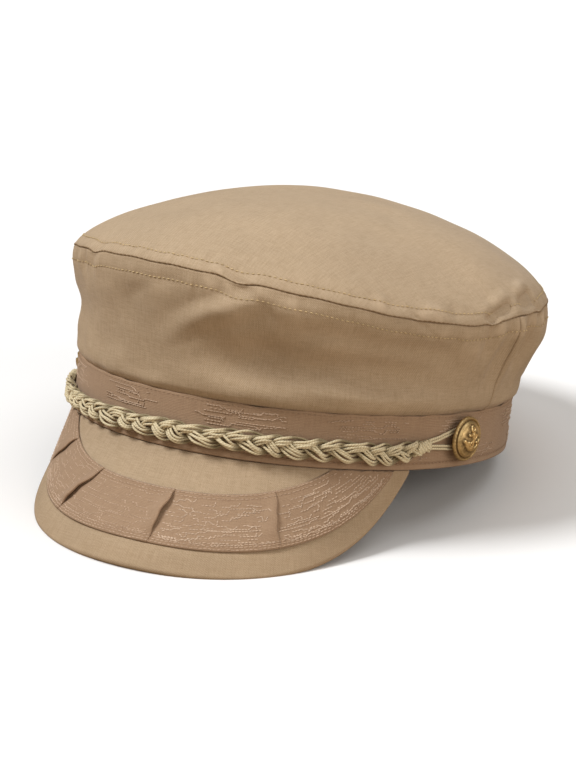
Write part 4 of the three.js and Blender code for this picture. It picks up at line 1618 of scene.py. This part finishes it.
class CAP_OT_buttons(bpy.types.Operator):
    """Make the two domed brass buttons with a roped rim and a raised anchor"""

    bl_idname = "cap.buttons"
    bl_label = "Buttons"

    def execute(self, context):
        radius = BUTTON_DIAMETER / 2
        shank = SHANK_DIAMETER / 2
        face = radius - BUTTON_RIM
        rings = [np.linspace(0, face, FACE_RINGS), np.linspace(face, radius, RIM_RINGS)[1:]]
        turn = np.radians(np.linspace(0, 360, BUTTON_TURNS, endpoint=False))
        spin, ring = np.meshgrid(turn, np.concatenate(rings), indexing="ij")
        x, y = ring * np.sin(spin), ring * np.cos(spin)
        base = BUTTON_STANDOFF + BUTTON_RIM * 0.6
        share = np.clip(ring / face, 0, 1)
        dome = base + BUTTON_DOME * np.sqrt(1 - share ** 2 * 0.999)
        inside = anchor_inside(x / face, y / face)
        raised = smooth(inside / 0.045 + 0.5)
        ropes = hump((share - 0.86) / 0.055) * (0.6 + 0.4 * np.sin(spin * FACE_ROPE_TURNS + share * 60))
        relief = ANCHOR_RELIEF * 1.5 * raised + 0.35 * ropes
        relief += 0.1 * np.sin(ring * 4) * (1 - raised) * smooth(1.6 - share * 2)
        rim_way = np.clip((ring - face) / BUTTON_RIM, 0, 1)
        rope = 0.12 * np.sin(spin * RIM_ROPE_TURNS + rim_way * 5) * hump(rim_way * 2 - 1)
        rim = base + 0.55 * BUTTON_RIM * np.sin(rim_way * np.pi) ** 0.7 + rope
        height = np.where(ring < face, dome + relief * smooth((1 - share) * 12), rim)
        near = np.exp(-np.maximum(-inside, 0) / 0.14)
        hollow = (1 - smooth(inside / 0.03 + 0.6)) * (0.25 + 0.75 * near)
        recess = np.where(ring < face, hollow, 0.3 - 0.3 * np.sin(rim_way * np.pi))
        recess = np.maximum(recess, hump((share - 0.97) / 0.06))
        back = np.array([
            (radius, base - 0.3), (radius, BUTTON_STANDOFF + 0.35), (radius - 0.5, BUTTON_STANDOFF),
            (shank + 0.5, BUTTON_STANDOFF), (shank, BUTTON_STANDOFF - 0.4), (shank, SEAT_GAP),
            (0, SEAT_GAP),
        ])
        backs = np.repeat(back[None], BUTTON_TURNS, 0)
        ring = np.concatenate([ring, backs[..., 0]], 1)
        height = np.concatenate([height, backs[..., 1]], 1)
        recess = np.concatenate([recess, np.full(backs.shape[:2], 0.7)], 1)
        places = np.meshgrid(np.append(turn, 2 * np.pi) * radius, np.arange(ring.shape[1]) * 0.3,
                             indexing="ij")
        uvs = corners_of(np.stack(places, -1))
        faces = corners_of(looped(np.arange(ring.size).reshape(ring.shape))).tolist()
        sideways = (ring * np.sin(turn)[:, None])[..., None]
        upwards = (ring * np.cos(turn)[:, None])[..., None]
        up = np.array([0.0, 0.0, 1.0])
        for side, word in SIDES:
            axis = outward(side * BUTTON_ANGLE)
            centre = band_point(side * BUTTON_ANGLE, 0.0, BUTTON_HEIGHT)
            points = centre + height[..., None] * axis + sideways * np.cross(up, axis) + upwards * up
            piece = piece_from(f"button_{word}_brass", points.reshape(-1, 3), faces, uvs, "Aged Brass",
                               {"recess": recess})
            finished(piece, "aged_brass", "button_" + word)
        return {"FINISHED"}


# Stage

FLOOR_SIZE = 12
SKY_LIGHT = (0.13, 0.11, 0.086, 1.0)
WHITE = (1.0, 1.0, 1.0, 1.0)

# The lamps: where each shines from, its strength, its width in degrees and its tint
LAMPS = {
    "key_light": ((-0.84, -0.66, 1.36), 2.8, 20, (0.94, 0.97, 1.0)),
    "top_light": ((0.2, 0.4, 1.8), 1.1, 60, (0.9, 0.95, 1.0)),
    "fill_light": ((1.2, -1.05, 0.8), 0.52, 50, (1.0, 0.97, 0.93)),
    "side_light": ((1.7, 0.05, 0.6), 0.8, 40, (1.0, 0.96, 0.92)),
}


def camera_axes():
    """The camera's right, up and back directions on the level cap."""
    az, el, roll = (math.radians(x) for x in (CAMERA_AZIMUTH, CAMERA_ELEVATION, CAMERA_ROLL))
    back = np.array([math.sin(az) * math.cos(el), -math.cos(az) * math.cos(el), math.sin(el)])
    right = np.array([math.cos(az), math.sin(az), 0.0])
    up = np.cross(back, right)
    return (math.cos(roll) * right + math.sin(roll) * up,
            math.cos(roll) * up - math.sin(roll) * right, back)


class CAP_OT_stage(bpy.types.Operator):
    """Make the pale floor, the soft studio light and the camera"""

    bl_idname = "cap.stage"
    bl_label = "Stage"

    def execute(self, context):
        scene = context.scene
        mesh = bpy.data.meshes.new("floor")
        corners = [(x * FLOOR_SIZE, y * FLOOR_SIZE, 0) for x, y in ((-1, -1), (1, -1), (1, 1), (-1, 1))]
        mesh.from_pydata(corners, [], [(0, 1, 2, 3)])
        mesh.materials.append(finish_of("Pale Floor"))
        floor = linked("floor", mesh)
        for name, (place, strength, width, colour_of_light) in LAMPS.items():
            lamp = bpy.data.lights.new(name, "SUN")
            lamp.energy = strength
            lamp.angle = math.radians(width)
            lamp.color = colour_of_light
            made = linked(name, lamp)
            made.location = place
            made.rotation_euler = (-Vector(place)).to_track_quat("-Z", "Y").to_euler()
        world = bpy.data.worlds.new("Studio")
        world.use_nodes = True
        tree = world.node_tree
        sky = mixed(seen_by_camera(tree), SKY_LIGHT, WHITE)
        feed(tree.nodes["Background"], {"Color": sky, "Strength": 1.0})
        scene.world = world
        scene.view_settings.view_transform = "Standard"
        right, up, back = camera_axes()
        camera = linked("camera", bpy.data.cameras.new("camera"))
        camera.data.lens = CAMERA_LENS
        camera.data.clip_start = 0.05
        place = back * CAMERA_DISTANCE + up * CAMERA_RAISE + right * CAMERA_SHIFT
        matrix = np.eye(4)
        matrix[:3, :3] = TURN @ np.array([right, up, back]).T
        matrix[:3, 3] = (TURN @ place + PLACE) * MM
        camera.matrix_world = Matrix(matrix.tolist())
        scene.camera = camera
        return {"FINISHED"}


STEPS = (CAP_OT_stage, CAP_OT_crown, CAP_OT_band, CAP_OT_peak, CAP_OT_peak_ribbon, CAP_OT_braid,
         CAP_OT_cord_loops, CAP_OT_buttons)


class CAP_PT_panel(bpy.types.Panel):
    """Lists the pieces of the cap with their sizes and colours"""

    bl_label = "Fisherman Cap"
    bl_idname = "CAP_PT_panel"
    bl_space_type = "VIEW_3D"
    bl_region_type = "UI"
    bl_category = "Fisherman Cap"

    def draw(self, context):
        for step in STEPS:
            self.layout.operator(step.bl_idname)
        for group in (context.scene.cap_sizes, context.scene.cap_colours):
            box = self.layout.box()
            for name in group.__annotations__:
                box.prop(group, name)


CLASSES = (CapSizes, CapColours, *STEPS, CAP_PT_panel)


def register():
    """Adds the cap's sizes, colours, operators and panel."""
    for each in CLASSES:
        bpy.utils.register_class(each)
    bpy.types.Scene.cap_sizes = PointerProperty(type=CapSizes)
    bpy.types.Scene.cap_colours = PointerProperty(type=CapColours)


def unregister():
    """Takes them away again."""
    del bpy.types.Scene.cap_sizes
    del bpy.types.Scene.cap_colours
    for each in reversed(CLASSES):
        bpy.utils.unregister_class(each)


def main():
    """Builds the stage and every piece."""
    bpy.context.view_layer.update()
    register()
    bpy.ops.cap.stage()
    bpy.ops.cap.crown()
    bpy.ops.cap.band()
    bpy.ops.cap.peak()
    bpy.ops.cap.peak_ribbon()
    bpy.ops.cap.braid()
    bpy.ops.cap.cord_loops()
    bpy.ops.cap.buttons()


if __name__ == "__main__":
    main()
